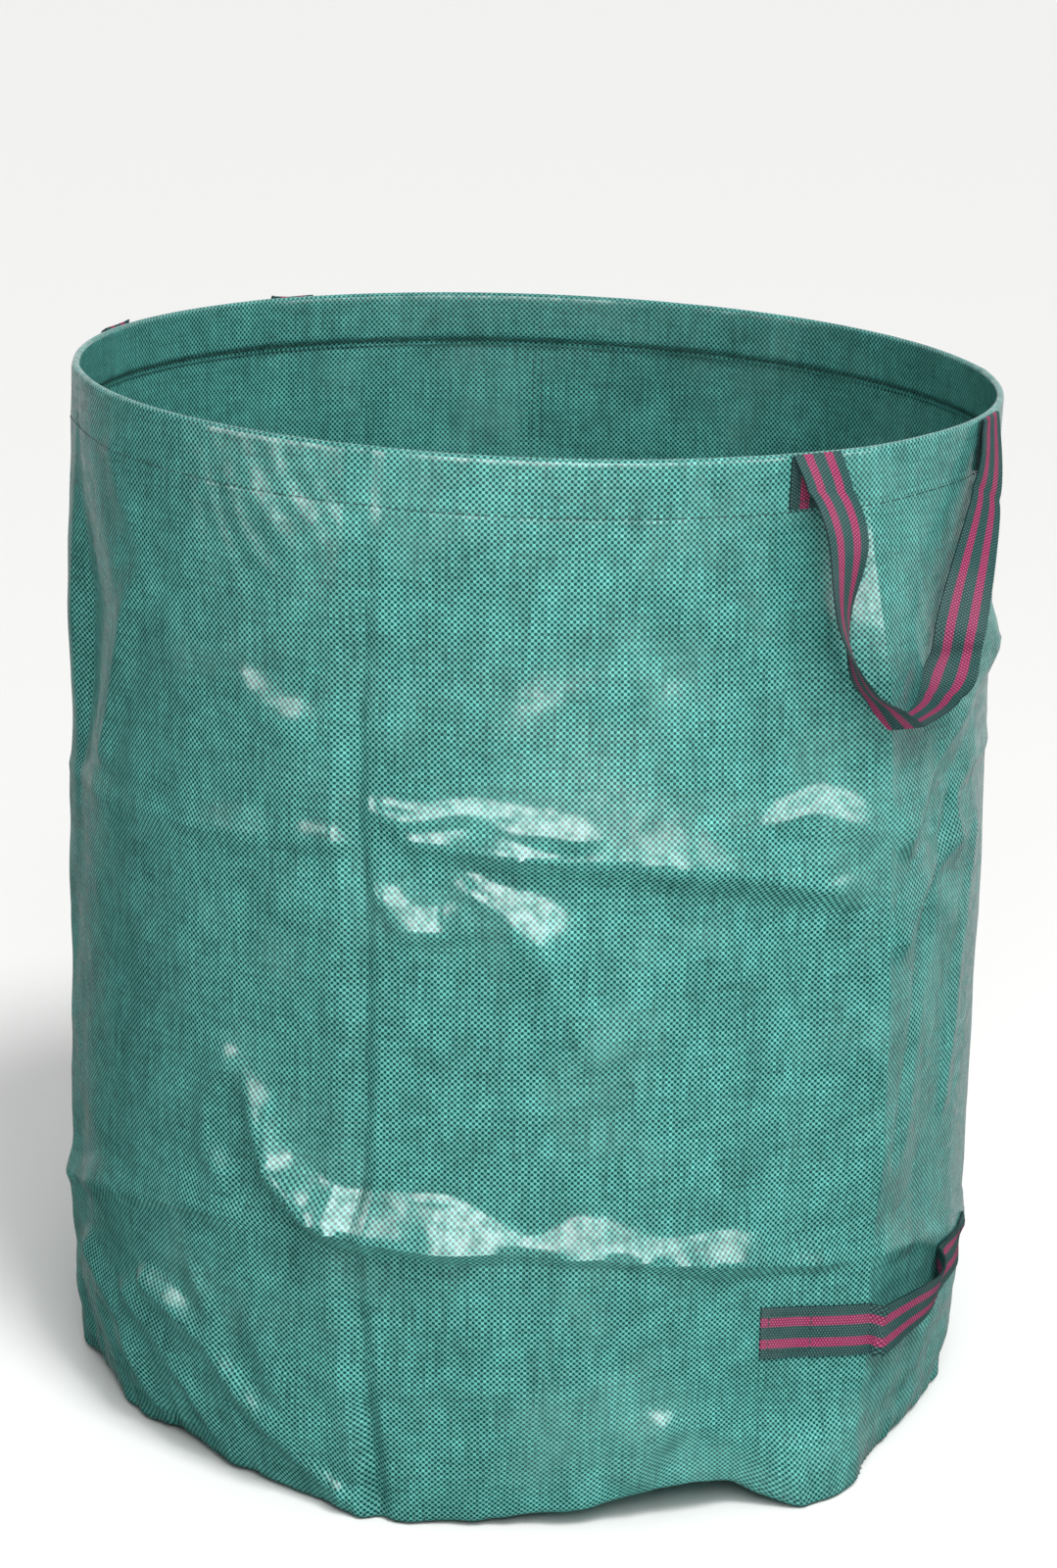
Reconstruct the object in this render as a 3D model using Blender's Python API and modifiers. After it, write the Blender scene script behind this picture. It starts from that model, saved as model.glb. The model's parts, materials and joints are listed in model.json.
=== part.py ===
"""Garden waste bag: a round, open bag of woven cloth on a plastic hoop, with three webbing handles.

Metres, +Z up. The origin is the middle of the base, on the ground. Azimuths are in degrees, 0 at the
front (-Y) and growing towards +X. Run it from Blender's text editor, or with blender --python.
"""

from math import atan2, ceil, cos, degrees, radians, sin, sqrt

import bmesh
import bpy
from mathutils import Matrix, Vector

# The bag as a whole
BAG_RADIUS = 0.335
BAG_HEIGHT = 0.760
RIM_DIP = 1.1  # degrees that the rim leans from level
RIM_DIP_TOWARDS = 63.0

# Cloth, thread, webbing and the gap that touching pieces keep
CLOTH = 0.001
THREAD_WIDTH = 0.0012
THREAD_THICKNESS = 0.0004
WEBBING_WIDTH = 0.038
WEBBING_THICKNESS = 0.0015
GAP = 0.0003

# The wall: how it draws in at its foot and swells at the lower fold, and its packing creases
FOOT_DRAWN_IN = 0.0050
BELLY_SWELL = 0.0046
LOWER_FOLD = 0.200
UPPER_FOLD = 0.480
UPPER_FOLD_PROUD = 0.002
CREASES = (-80.0, -20.0, 43.0, 100.0, 160.0, 220.0)
PANEL_STEPS = 12
PANEL_SINK = 0.004
FOOT_LOBE = 0.006
FOOT_LOBE_HEIGHT = 0.060
UPPER_FOLD_REACH = 0.060
LOWER_ROWS = 5
UPPER_ROWS = 8
SEAM_AZIMUTH = 180.0

# The rim: the cloth folded over a flat plastic hoop, and the sleeve that joins the hoop's ends
HEM_HEIGHT = 0.040
STITCH_ABOVE_HEM_EDGE = 0.0015
HOOP_ABOVE_STITCHES = 0.0035
HOOP_THICKNESS = 0.0015
HOOP_JOINT_AZIMUTH = 100.0
HOOP_JOINT_GAP = 0.002
SLEEVE_LENGTH = 0.060
SLEEVE_WALL = 0.0005
RIM_STEPS = 72

# The two carrying handles: where their ends are sewn, and how the webbing hangs between them
RIGHT_ENDS = (32.6, 68.0)
LEFT_ENDS = (-144.4, -109.4)
FOLD_RISE = 0.0012
TAIL_BELOW_FOLD = 0.0008
TAIL_ABOVE_STITCHES = 0.0015
TACK_INSET = 0.005

HANDLE_DROP = 0.186
HANDLE_STAND_OFF = 0.040

# The webbing of a loop runs through these points. Each gives the way from the middle between the
# ends as a share of half their distance, the shares of the drop and the stand-off, and a turn.
RIGHT_LOOP = (
    (-1.00, 0.00, 0.00, -17.7),
    (-0.84, 0.33, 0.40, -6.0),
    (-0.88, 0.57, 0.45, 22.0),
    (-0.82, 0.77, 0.62, 49.0),
    (-0.46, 1.00, 0.92, 85.0),
    (-0.20, 1.00, 1.00, 95.0),
    (0.08, 0.87, 1.00, 115.0),
    (0.31, 0.61, 0.80, 155.0),
    (0.68, 0.37, 0.45, 180.0),
    (0.93, 0.16, 0.15, 192.0),
    (1.00, 0.00, 0.00, 197.7),
)
LEFT_LOOP = (
    (-1.00, 0.00, 0.00, -17.5),
    (-0.94, 0.19, 0.30, -8.0),
    (-0.84, 0.47, 0.58, 20.0),
    (-0.56, 0.81, 0.82, 60.0),
    (-0.05, 1.00, 0.95, 90.0),
    (0.46, 0.86, 0.90, 118.0),
    (0.82, 0.56, 0.72, 155.0),
    (0.95, 0.31, 0.70, 178.0),
    (0.98, 0.14, 0.60, 188.0),
    (1.00, 0.00, 0.00, 197.5),
)
LOOP_STEPS = 4

# The tipping handle low on the wall: its sewn ends, its free length and how far that stands off
TIPPING_SEWN = ((29.6, 44.6), (65.4, 77.0))
TIPPING_HEIGHT = 0.122
TIPPING_FRONT_RISE = 0.014
TIPPING_TACKS = ((30.6, 36.5), (66.6, 74.0))
TIPPING_ARCH = 0.005
TIPPING_STAND_OFF = 0.015
TIPPING_LOOP = (
    (-1.00, 0.00, 0.00, 0.0),
    (-0.85, 0.00, 0.11, 0.0),
    (-0.45, 0.60, 0.67, 13.0),
    (0.00, 1.00, 1.00, 18.0),
    (0.45, 0.80, 0.73, 14.0),
    (0.85, 0.00, 0.12, 0.0),
    (1.00, 0.00, 0.00, 0.0),
)

# Colours and finishes: red, green, blue, roughness
CLOTH_GREEN = (0.055, 0.330, 0.235, 0.35)
HOOP_BLACK = (0.030, 0.030, 0.030, 0.45)
THREAD_GREEN = (0.020, 0.120, 0.090, 0.70)
WEBBING_GREEN = (0.020, 0.085, 0.070, 0.85)

# What follows from the sizes above
FOOT_RADIUS = BAG_RADIUS - FOOT_DRAWN_IN
BELLY_RADIUS = BAG_RADIUS + BELLY_SWELL
STITCH_DROP = HEM_HEIGHT - STITCH_ABOVE_HEM_EDGE
CHANNEL = HOOP_THICKNESS + 2 * SLEEVE_WALL + 4 * GAP
TAIL_OUT = GAP + WEBBING_THICKNESS / 2
TACK_OUT = GAP + WEBBING_THICKNESS + GAP + THREAD_THICKNESS / 2
LOOP_OUT = TAIL_OUT + WEBBING_THICKNESS + GAP
LEAN_AXIS = Vector((cos(radians(RIM_DIP_TOWARDS)), sin(radians(RIM_DIP_TOWARDS)), 0))
RIM_FRAME = Matrix.Translation((0, 0, BAG_HEIGHT)) @ Matrix.Rotation(radians(RIM_DIP), 4, LEAN_AXIS)


def outward(azimuth):
    """The level direction that points away from the bag's middle."""
    return Vector((sin(radians(azimuth)), -cos(radians(azimuth)), 0))


def along(azimuth):
    """The level direction along the wall, towards growing azimuth."""
    return Vector((cos(radians(azimuth)), sin(radians(azimuth)), 0))


def clear_scene():
    for item in list(bpy.data.objects):
        bpy.data.objects.remove(item, do_unlink=True)


def new_collection(name):
    made = bpy.data.collections.new(name)
    bpy.context.scene.collection.children.link(made)
    return made


def material(name, finish):
    red, green, blue, roughness = finish
    made = bpy.data.materials.new(name)
    made.use_nodes = True
    shader = made.node_tree.nodes["Principled BSDF"]
    shader.inputs["Base Color"].default_value = (red, green, blue, 1)
    shader.inputs["Roughness"].default_value = roughness
    return made


def add_object(name, data, finish, parent=None):
    """A named piece with its own material, in the bag's collection."""
    made = bpy.data.objects.new(name, data)
    data.materials.append(material(name, finish))
    BAG.objects.link(made)
    made.parent = parent
    return made


def solidify(piece, thickness, offset):
    shell = piece.modifiers.new("Thickness", "SOLIDIFY")
    shell.thickness = thickness
    shell.offset = offset
    shell.use_even_offset = True


def point_faces(bm, wanted):
    """Turn every face so that the first one points the wanted way."""
    bmesh.ops.recalc_face_normals(bm, faces=bm.faces)
    bm.faces.ensure_lookup_table()
    first = bm.faces[0]
    if first.normal.dot(wanted(first.calc_center_median())) < 0:
        bmesh.ops.reverse_faces(bm, faces=bm.faces)


def mesh_from(bm, name):
    mesh = bpy.data.meshes.new(name)
    bm.to_mesh(mesh)
    bm.free()
    mesh.shade_smooth()
    mesh.set_sharp_from_angle(angle=radians(30))
    return mesh


def wall_stations():
    """Azimuths of the wall's upright edges, with one on each crease."""
    stations = []
    for first, last in zip(CREASES, CREASES[1:] + (CREASES[0] + 360,)):
        stations += [first + (last - first) * step / PANEL_STEPS for step in range(PANEL_STEPS)]
    return stations


def panel_share(azimuth):
    """0 on a crease and 1 in the middle of the panel between two creases."""
    turned = (azimuth - CREASES[0]) % 360 + CREASES[0]
    edges = CREASES + (CREASES[0] + 360,)
    for first, last in zip(edges, edges[1:]):
        if turned <= last:
            share = (turned - first) / (last - first)
            return 4 * share * (1 - share)
    return 0


def wall_radius(azimuth, height):
    """Outer radius of the wall: its swell, less the flats between creases, with lobes at the foot."""
    if height < LOWER_FOLD:
        swell = sqrt(1 - (1 - height / LOWER_FOLD) ** 2)
        radius = FOOT_RADIUS + (BELLY_RADIUS - FOOT_RADIUS) * swell
    else:
        rise = (height - LOWER_FOLD) / (BAG_HEIGHT - LOWER_FOLD)
        radius = BELLY_RADIUS + (BAG_RADIUS - BELLY_RADIUS) * rise
    flat = panel_share(azimuth)
    radius -= PANEL_SINK * flat * (1 - (height / BAG_HEIGHT) ** 4)
    low = max(0, 1 - height / FOOT_LOBE_HEIGHT)
    radius += FOOT_LOBE * (1 - 2 * flat) * low * low
    fold = max(0, 1 - abs(height - UPPER_FOLD) / UPPER_FOLD_REACH)
    return radius + UPPER_FOLD_PROUD * fold


def wall_top(azimuth):
    """Height of the wall's top edge, just under the hem, which leans with the rim."""
    lean = BAG_RADIUS * sin(radians(RIM_DIP)) * cos(radians(azimuth - RIM_DIP_TOWARDS))
    return BAG_HEIGHT - HEM_HEIGHT * cos(radians(RIM_DIP)) - lean - GAP


def lower_rows():
    """Heights of the lower wall's level edges, closer together at the foot."""
    bottom = CLOTH + GAP
    return [bottom + (LOWER_FOLD - bottom) * (row / LOWER_ROWS) ** 2 for row in range(LOWER_ROWS + 1)]


def upper_height(azimuth, row):
    bottom = LOWER_FOLD + GAP
    return bottom + (wall_top(azimuth) - bottom) * row / UPPER_ROWS


def wall_piece(name, height_at, rows):
    """A band of the wall, drawn as a ring of edges that is extruded upwards and then thickened."""
    stations = wall_stations()
    bm = bmesh.new()
    station = bm.verts.layers.int.new("station")
    ring = bmesh.ops.create_circle(bm, segments=len(stations), radius=BAG_RADIUS)["verts"]
    for index, vert in enumerate(ring):
        vert[station] = index
    for row in range(rows + 1):
        if row:
            edges = [edge for edge in bm.edges if all(vert in ring for vert in edge.verts)]
            grown = bmesh.ops.extrude_edge_only(bm, edges=edges)["geom"]
            ring = [item for item in grown if isinstance(item, bmesh.types.BMVert)]
        for vert in ring:
            azimuth = stations[vert[station]]
            height = height_at(azimuth, row)
            vert.co = outward(azimuth) * wall_radius(azimuth, height) + Vector((0, 0, height))
        ring = set(ring)
    point_faces(bm, lambda middle: Vector((middle.x, middle.y, 0)))
    piece = add_object(name, mesh_from(bm, name), CLOTH_GREEN)
    solidify(piece, CLOTH, -1)
    return piece


def cloth_radius(azimuth, height):
    """Radius of the wall's flat facets at a place between its upright edges."""
    stations = wall_stations()
    stations.append(stations[0] + 360)
    turned = (azimuth - stations[0]) % 360 + stations[0]
    for first, last in zip(stations, stations[1:]):
        if turned <= last:
            a = outward(first) * wall_radius(first, height)
            b = outward(last) * wall_radius(last, height)
            towards = outward(azimuth)
            across = b - a
            return (a.x * across.y - a.y * across.x) / (towards.x * across.y - towards.y * across.x)
    return BAG_RADIUS


def base_panel():
    """The round base: flat, with the outline that the wall stands on."""
    stations = wall_stations()
    bm = bmesh.new()
    ring = bmesh.ops.create_circle(bm, cap_ends=True, segments=len(stations), radius=BAG_RADIUS)
    for azimuth, vert in zip(stations, ring["verts"]):
        vert.co = outward(azimuth) * wall_radius(azimuth, 0)
    point_faces(bm, lambda middle: Vector((0, 0, -1)))
    piece = add_object("base_panel", mesh_from(bm, "base_panel"), CLOTH_GREEN)
    solidify(piece, CLOTH, -1)
    return piece


def closed_ring(name, section_at, stations, finish, parent=None, closed=True):
    """A loft around the bag. section_at gives the corners of its section at an azimuth, going round."""
    bm = bmesh.new()
    rings = [[bm.verts.new(point) for point in section_at(azimuth)] for azimuth in stations]
    corners = len(rings[0])
    pairs = list(zip(rings, rings[1:]))
    if closed:
        pairs.append((rings[-1], rings[0]))
    for here, there in pairs:
        for corner in range(corners):
            after = (corner + 1) % corners
            bm.faces.new((here[corner], there[corner], there[after], here[after]))
    if not closed:
        bm.faces.new(rings[0])
        bm.faces.new(reversed(rings[-1]))
    bmesh.ops.recalc_face_normals(bm, faces=bm.faces)
    return add_object(name, mesh_from(bm, name), finish, parent)


def turned_ring(name, profile, finish, parent):
    """A closed profile of (radius, height) points, turned about the bag's axis."""
    bm = bmesh.new()
    verts = [bm.verts.new((radius, 0, height)) for radius, height in profile]
    for here, there in zip(verts, verts[1:] + verts[:1]):
        bm.edges.new((here, there))
    mesh = bpy.data.meshes.new(name)
    bm.to_mesh(mesh)
    bm.free()
    piece = add_object(name, mesh, finish, parent)
    screw = piece.modifiers.new("Turn", "SCREW")
    screw.steps = RIM_STEPS
    screw.render_steps = RIM_STEPS
    screw.use_merge_vertices = True
    screw.merge_threshold = 0.0001
    screw.use_smooth_shade = False
    return piece


def rim_hem(rim):
    """The wall's top, folded down inside over the hoop: an upside-down channel of cloth."""
    outer = BAG_RADIUS
    inner = outer - 2 * CLOTH - CHANNEL
    profile = (
        (outer, -CLOTH), (outer, -HEM_HEIGHT), (outer - CLOTH, -HEM_HEIGHT), (outer - CLOTH, -CLOTH),
        (inner + CLOTH, -CLOTH), (inner + CLOTH, -HEM_HEIGHT), (inner, -HEM_HEIGHT), (inner, -CLOTH),
        (inner + CLOTH, 0), (outer - CLOTH, 0),
    )
    return turned_ring("rim_hem", profile, CLOTH_GREEN, rim)


def hoop_radii():
    outer = BAG_RADIUS - CLOTH - 2 * GAP - SLEEVE_WALL
    return outer - HOOP_THICKNESS, outer


def hoop_heights():
    """Bottom and top of the flat hoop, which fills the channel above the stitches."""
    top = -CLOTH - 2 * GAP - SLEEVE_WALL
    return -STITCH_DROP + HOOP_ABOVE_STITCHES, top


def box_section(inner, outer, bottom, top):
    def section(azimuth):
        way = outward(azimuth)
        corners = ((outer, top), (outer, bottom), (inner, bottom), (inner, top))
        return [way * radius + Vector((0, 0, height)) for radius, height in corners]

    return section


def rim_hoop(rim):
    """A strip of plastic bent into a ring, with its two ends nearly meeting."""
    inner, outer = hoop_radii()
    bottom, top = hoop_heights()
    half_gap = degrees(HOOP_JOINT_GAP / 2 / BAG_RADIUS)
    first = HOOP_JOINT_AZIMUTH + half_gap
    sweep = 360 - 2 * half_gap
    stations = [first + sweep * step / RIM_STEPS for step in range(RIM_STEPS + 1)]
    section = box_section(inner, outer, bottom, top)
    return closed_ring("rim_hoop", section, stations, HOOP_BLACK, rim, closed=False)


def hoop_sleeve(rim):
    """A short flat sleeve that the hoop's two ends are pushed into, open along its lower edge."""
    inner, outer = hoop_radii()
    bottom, top = hoop_heights()
    far, near = outer + GAP, inner - GAP
    roof = top + GAP

    def section(azimuth):
        way = outward(azimuth)
        corners = (
            (far + SLEEVE_WALL, roof + SLEEVE_WALL), (far + SLEEVE_WALL, bottom), (far, bottom),
            (far, roof), (near, roof), (near, bottom), (near - SLEEVE_WALL, bottom),
            (near - SLEEVE_WALL, roof + SLEEVE_WALL),
        )
        return [way * radius + Vector((0, 0, height)) for radius, height in corners]

    sweep = degrees(SLEEVE_LENGTH / BAG_RADIUS)
    steps = ceil(sweep * RIM_STEPS / 360)
    start = HOOP_JOINT_AZIMUTH - sweep / 2
    stations = [start + sweep * step / steps for step in range(steps + 1)]
    return closed_ring("hoop_sleeve", section, stations, HOOP_BLACK, rim, closed=False)


def hem_stitching(rim):
    inner = BAG_RADIUS + GAP
    outer = inner + THREAD_THICKNESS
    high, low = -STITCH_DROP + THREAD_WIDTH / 2, -STITCH_DROP - THREAD_WIDTH / 2
    profile = ((outer, high), (outer, low), (inner, low), (inner, high))
    return turned_ring("hem_stitching", profile, THREAD_GREEN, rim)


def base_stitching():
    """The thread that joins base and wall, in the corner inside."""

    def section(azimuth):
        bottom = CLOTH + GAP
        way = outward(azimuth)
        outer = wall_radius(azimuth, bottom) - CLOTH - 2 * GAP - THREAD_THICKNESS
        corners = (
            (outer, bottom + THREAD_WIDTH), (outer, bottom),
            (outer - THREAD_THICKNESS, bottom), (outer - THREAD_THICKNESS, bottom + THREAD_WIDTH),
        )
        return [way * radius + Vector((0, 0, height)) for radius, height in corners]

    return closed_ring("base_stitching", section, wall_stations(), THREAD_GREEN)


def seam_stitching(name, heights):
    """The upright thread line of the wall's seam, lying on the outside of the cloth."""
    bm = bmesh.new()
    side = along(SEAM_AZIMUTH) * THREAD_WIDTH / 2
    way = outward(SEAM_AZIMUTH)
    rails = []
    for height in heights:
        near = way * (wall_radius(SEAM_AZIMUTH, height) + GAP) + Vector((0, 0, height))
        far = near + way * THREAD_THICKNESS
        rails.append([bm.verts.new(point) for point in (near - side, near + side, far + side, far - side)])
    for here, there in zip(rails, rails[1:]):
        for corner in range(4):
            after = (corner + 1) % 4
            bm.faces.new((here[corner], here[after], there[after], there[corner]))
    bm.faces.new(reversed(rails[0]))
    bm.faces.new(rails[-1])
    bmesh.ops.recalc_face_normals(bm, faces=bm.faces)
    return add_object(name, mesh_from(bm, name), THREAD_GREEN)


def strap(name, rows, origin=Vector()):
    """A length of webbing: rows of points across its middle surface, made thick to both sides."""
    bm = bmesh.new()
    verts = [[bm.verts.new(point - origin) for point in row] for row in rows]
    for here, there in zip(verts, verts[1:]):
        for edge in range(len(here) - 1):
            bm.faces.new((here[edge], here[edge + 1], there[edge + 1], there[edge]))
    piece = add_object(name, mesh_from(bm, name), WEBBING_GREEN)
    piece.location = origin
    solidify(piece, WEBBING_THICKNESS, 0)
    return piece


def smooth_route(points, steps):
    """Values on a curve through the points, with a few steps from each to the next."""
    ends = [tuple(2 * a - b for a, b in zip(points[0], points[1]))]
    ends += list(points)
    ends.append(tuple(2 * a - b for a, b in zip(points[-1], points[-2])))
    route = []
    for before, first, last, after in zip(ends, ends[1:], ends[2:], ends[3:]):
        for step in range(steps):
            t = step / steps
            route.append(
                tuple(
                    0.5 * (2 * q + (r - p) * t + (2 * p - 5 * q + 4 * r - s) * t**2
                           + (3 * q - p - 3 * r + s) * t**3)
                    for p, q, r, s in zip(before, first, last, after)
                )
            )
    route.append(tuple(points[-1]))
    return route


class Span:
    """The line between two ends of a loop, with the directions along, out and up from it."""

    def __init__(self, first, last):
        self.middle = (first + last) / 2
        self.half = (last - first).length / 2
        self.along = (last - first).normalized()
        self.out = self.along.cross(Vector((0, 0, 1))).normalized()
        self.up = self.out.cross(self.along)

    def place(self, share, out, rise):
        return self.middle + self.along * share * self.half + self.out * out + self.up * rise

    def say(self, name, pivot):
        swing = -self.along
        print(name, "pivot", [round(v, 5) for v in pivot], "axis", [round(v, 5) for v in swing])


def across(centres, widths, width):
    """Rows of two points across a strap, square to its route except at its ends."""
    rows = []
    last = len(centres) - 1
    for index, (centre, wanted) in enumerate(zip(centres, widths)):
        side = wanted
        if 0 < index < last:
            run = (centres[index + 1] - centres[index - 1]).normalized()
            side = wanted - run * wanted.dot(run)
        side = side.normalized() * width / 2
        rows.append([centre - side, centre + side])
    return rows


def fold_point(azimuth):
    """Where a carrying handle's webbing folds over, just outside and above the hem."""
    place = outward(azimuth) * (BAG_RADIUS + LOOP_OUT) + Vector((0, 0, FOLD_RISE))
    return RIM_FRAME @ place


def carrying_loop(name, ends, route):
    """A carrying handle's free webbing. It swings on the line through its two folds."""
    span = Span(fold_point(ends[0]), fold_point(ends[1]))
    centres = []
    widths = []
    for share, drop, stand, turn in smooth_route(route, LOOP_STEPS):
        centres.append(span.place(share, stand * HANDLE_STAND_OFF, -drop * HANDLE_DROP))
        widths.append(span.along * cos(radians(turn)) - span.out * sin(radians(turn)))
    span.say(name, span.middle)
    return strap(name, across(centres, widths, WEBBING_WIDTH), span.middle)


def webbing_tail(name, azimuth, rim):
    """The sewn end of a carrying handle: a short flat length on the outside of the hem."""
    top = FOLD_RISE - TAIL_BELOW_FOLD
    bottom = -STITCH_DROP + THREAD_WIDTH / 2 + TAIL_ABOVE_STITCHES
    bm = bmesh.new()
    bmesh.ops.create_cube(bm, size=1)
    size = Matrix.Diagonal((WEBBING_WIDTH, WEBBING_THICKNESS, top - bottom, 1))
    bmesh.ops.transform(bm, matrix=size, verts=bm.verts)
    piece = add_object(name, mesh_from(bm, name), WEBBING_GREEN, rim)
    piece.location = outward(azimuth) * (BAG_RADIUS + TAIL_OUT)
    piece.location.z = (top + bottom) / 2
    piece.rotation_euler.z = radians(azimuth)
    return piece


def tack_outline(name, width, height):
    """A box of stitches: a flat rectangular frame of thread, drawn as a curve with a hole."""
    curve = bpy.data.curves.new(name, "CURVE")
    curve.dimensions = "2D"
    curve.fill_mode = "BOTH"
    curve.extrude = THREAD_THICKNESS / 2
    for inset in (0, THREAD_WIDTH):
        spline = curve.splines.new("POLY")
        spline.points.add(3)
        half, rise = width / 2 - inset, height / 2 - inset
        corners = ((-half, -rise), (half, -rise), (half, rise), (-half, rise))
        for point, (x, y) in zip(spline.points, corners):
            point.co = (x, y, 0, 1)
        spline.use_cyclic_u = True
    return curve


def tail_tack(name, azimuth, rim):
    """The box of stitches that holds a carrying handle's end to the hem."""
    top = FOLD_RISE - TAIL_BELOW_FOLD
    bottom = -STITCH_DROP + THREAD_WIDTH / 2 + TAIL_ABOVE_STITCHES
    size = (WEBBING_WIDTH - 2 * TACK_INSET, top - bottom - 2 * TACK_INSET)
    piece = add_object(name, tack_outline(name, *size), THREAD_GREEN, rim)
    piece.location = outward(azimuth) * (BAG_RADIUS + TACK_OUT)
    piece.location.z = (top + bottom) / 2
    piece.rotation_euler = (radians(90), 0, radians(azimuth))
    return piece


def tipping_middle(azimuth):
    """Height of the tipping handle's middle line. Its front end is sewn a little higher."""
    first, last = TIPPING_SEWN[0]
    share = max(0, (last - azimuth) / (last - first))
    return TIPPING_HEIGHT + TIPPING_FRONT_RISE * share


def on_wall(azimuth, height, out):
    return outward(azimuth) * (cloth_radius(azimuth, height) + out) + Vector((0, 0, height))


def tipping_row(azimuth, out, width=WEBBING_WIDTH):
    middle = tipping_middle(azimuth)
    return [on_wall(azimuth, middle + width * share, out) for share in (-0.5, 0, 0.5)]


def stations_between(first, last):
    """The two azimuths and each upright edge of the wall between them."""
    turned = [station - 360 if station > 180 else station for station in wall_stations()]
    return [first] + sorted(station for station in turned if first < station < last) + [last]


def tipping_end(name, sewn):
    out = GAP + WEBBING_THICKNESS / 2
    return strap(name, [tipping_row(azimuth, out) for azimuth in stations_between(*sewn)])


def tipping_tack(name, sewn):
    """Two rows of stitches across the webbing and two along it, as one flat frame on its face."""
    out = 2 * GAP + WEBBING_THICKNESS
    edge = degrees(THREAD_WIDTH / BELLY_RADIUS)
    width = WEBBING_WIDTH - 2 * TACK_INSET
    first, last = sewn
    columns = sorted(set(stations_between(first, last) + [first + edge, last - edge]))
    levels = (-0.5 * width, -0.5 * width + THREAD_WIDTH, 0.5 * width - THREAD_WIDTH, 0.5 * width)
    bm = bmesh.new()
    grid = []
    for azimuth in columns:
        middle = tipping_middle(azimuth)
        grid.append([bm.verts.new(on_wall(azimuth, middle + level, out)) for level in levels])
    last_column = len(columns) - 2
    for column, (here, there) in enumerate(zip(grid, grid[1:])):
        for level in range(3):
            if level == 1 and 0 < column < last_column:
                continue
            bm.faces.new((here[level], there[level], there[level + 1], here[level + 1]))
    point_faces(bm, lambda middle: Vector((middle.x, middle.y, 0)))
    bmesh.ops.delete(bm, geom=[vert for vert in bm.verts if not vert.link_faces], context="VERTS")
    piece = add_object(name, mesh_from(bm, name), THREAD_GREEN)
    solidify(piece, THREAD_THICKNESS, 1)
    return piece


def tipping_loop(name):
    """The tipping handle's free webbing. It swings on the line through the tops of its two ends."""
    out = GAP + WEBBING_THICKNESS / 2
    clearance = degrees(GAP / BELLY_RADIUS)
    first = TIPPING_SEWN[0][1] + clearance
    last = TIPPING_SEWN[1][0] - clearance
    _, middles, tops = zip(*(tipping_row(azimuth, out) for azimuth in (first, last)))
    span = Span(*middles)
    pivot = (tops[0] + tops[1]) / 2
    lean = atan2((pivot - span.middle).dot(span.out), WEBBING_WIDTH / 2)
    centres = []
    widths = []
    for share, arch, stand, tilt in smooth_route(TIPPING_LOOP, LOOP_STEPS):
        bulge = sqrt(BAG_RADIUS**2 - (share * span.half) ** 2) - sqrt(BAG_RADIUS**2 - span.half**2)
        centres.append(span.place(share, stand * TIPPING_STAND_OFF + bulge, arch * TIPPING_ARCH))
        turn = radians(tilt) + lean
        widths.append(span.up * cos(turn) + span.out * sin(turn))
    span.say(name, pivot)
    return strap(name, across(centres, widths, WEBBING_WIDTH), pivot)


def carrying_handle(side, ends, route, rim):
    carrying_loop(side + "_handle_loop", ends, route)
    for place, azimuth in zip(("front", "rear") if side == "right" else ("rear", "front"), ends):
        webbing_tail(side + "_handle_" + place + "_end", azimuth, rim)
        tail_tack(side + "_handle_" + place + "_stitching", azimuth, rim)


def tipping_handle():
    tipping_loop("tipping_handle_loop")
    for place, sewn, tack in zip(("front", "rear"), TIPPING_SEWN, TIPPING_TACKS):
        tipping_end("tipping_handle_" + place + "_end", sewn)
        tipping_tack("tipping_handle_" + place + "_stitching", tack)


clear_scene()
BAG = new_collection("garden_waste_bag")

rim_place = bpy.data.objects.new("rim_place", None)
rim_place.matrix_world = RIM_FRAME
BAG.objects.link(rim_place)

base_panel()
base_stitching()
wall_piece("side_wall_lower", lambda azimuth, row: lower_rows()[row], LOWER_ROWS)
wall_piece("side_wall_upper", upper_height, UPPER_ROWS)
seam_stitching("seam_stitching_lower", lower_rows())
seam_stitching(
    "seam_stitching_upper", [upper_height(SEAM_AZIMUTH, row) for row in range(UPPER_ROWS + 1)]
)
rim_hem(rim_place)
hem_stitching(rim_place)
rim_hoop(rim_place)
hoop_sleeve(rim_place)
carrying_handle("right", RIGHT_ENDS, RIGHT_LOOP, rim_place)
carrying_handle("left", LEFT_ENDS, LEFT_LOOP, rim_place)
tipping_handle()
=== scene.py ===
# %% [markdown]
# # Garden waste bag
# This notebook dresses a round, open garden bag. Its measured model is already packed: it says where
# every piece is and what moves. Here each soft piece gets its real form, with its folds, seams and
# stitches, and each material gets its weave, ribs and gloss. The frame comes first, because every
# piece is placed by it. All lengths are metres, and the origin is the middle of the base, on the floor.

# %% Load the frame
import json
from math import atan2, cos, degrees, pi, radians, sin, sqrt

import bpy
import numpy as np
from mathutils import Matrix, Vector, noise

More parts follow.
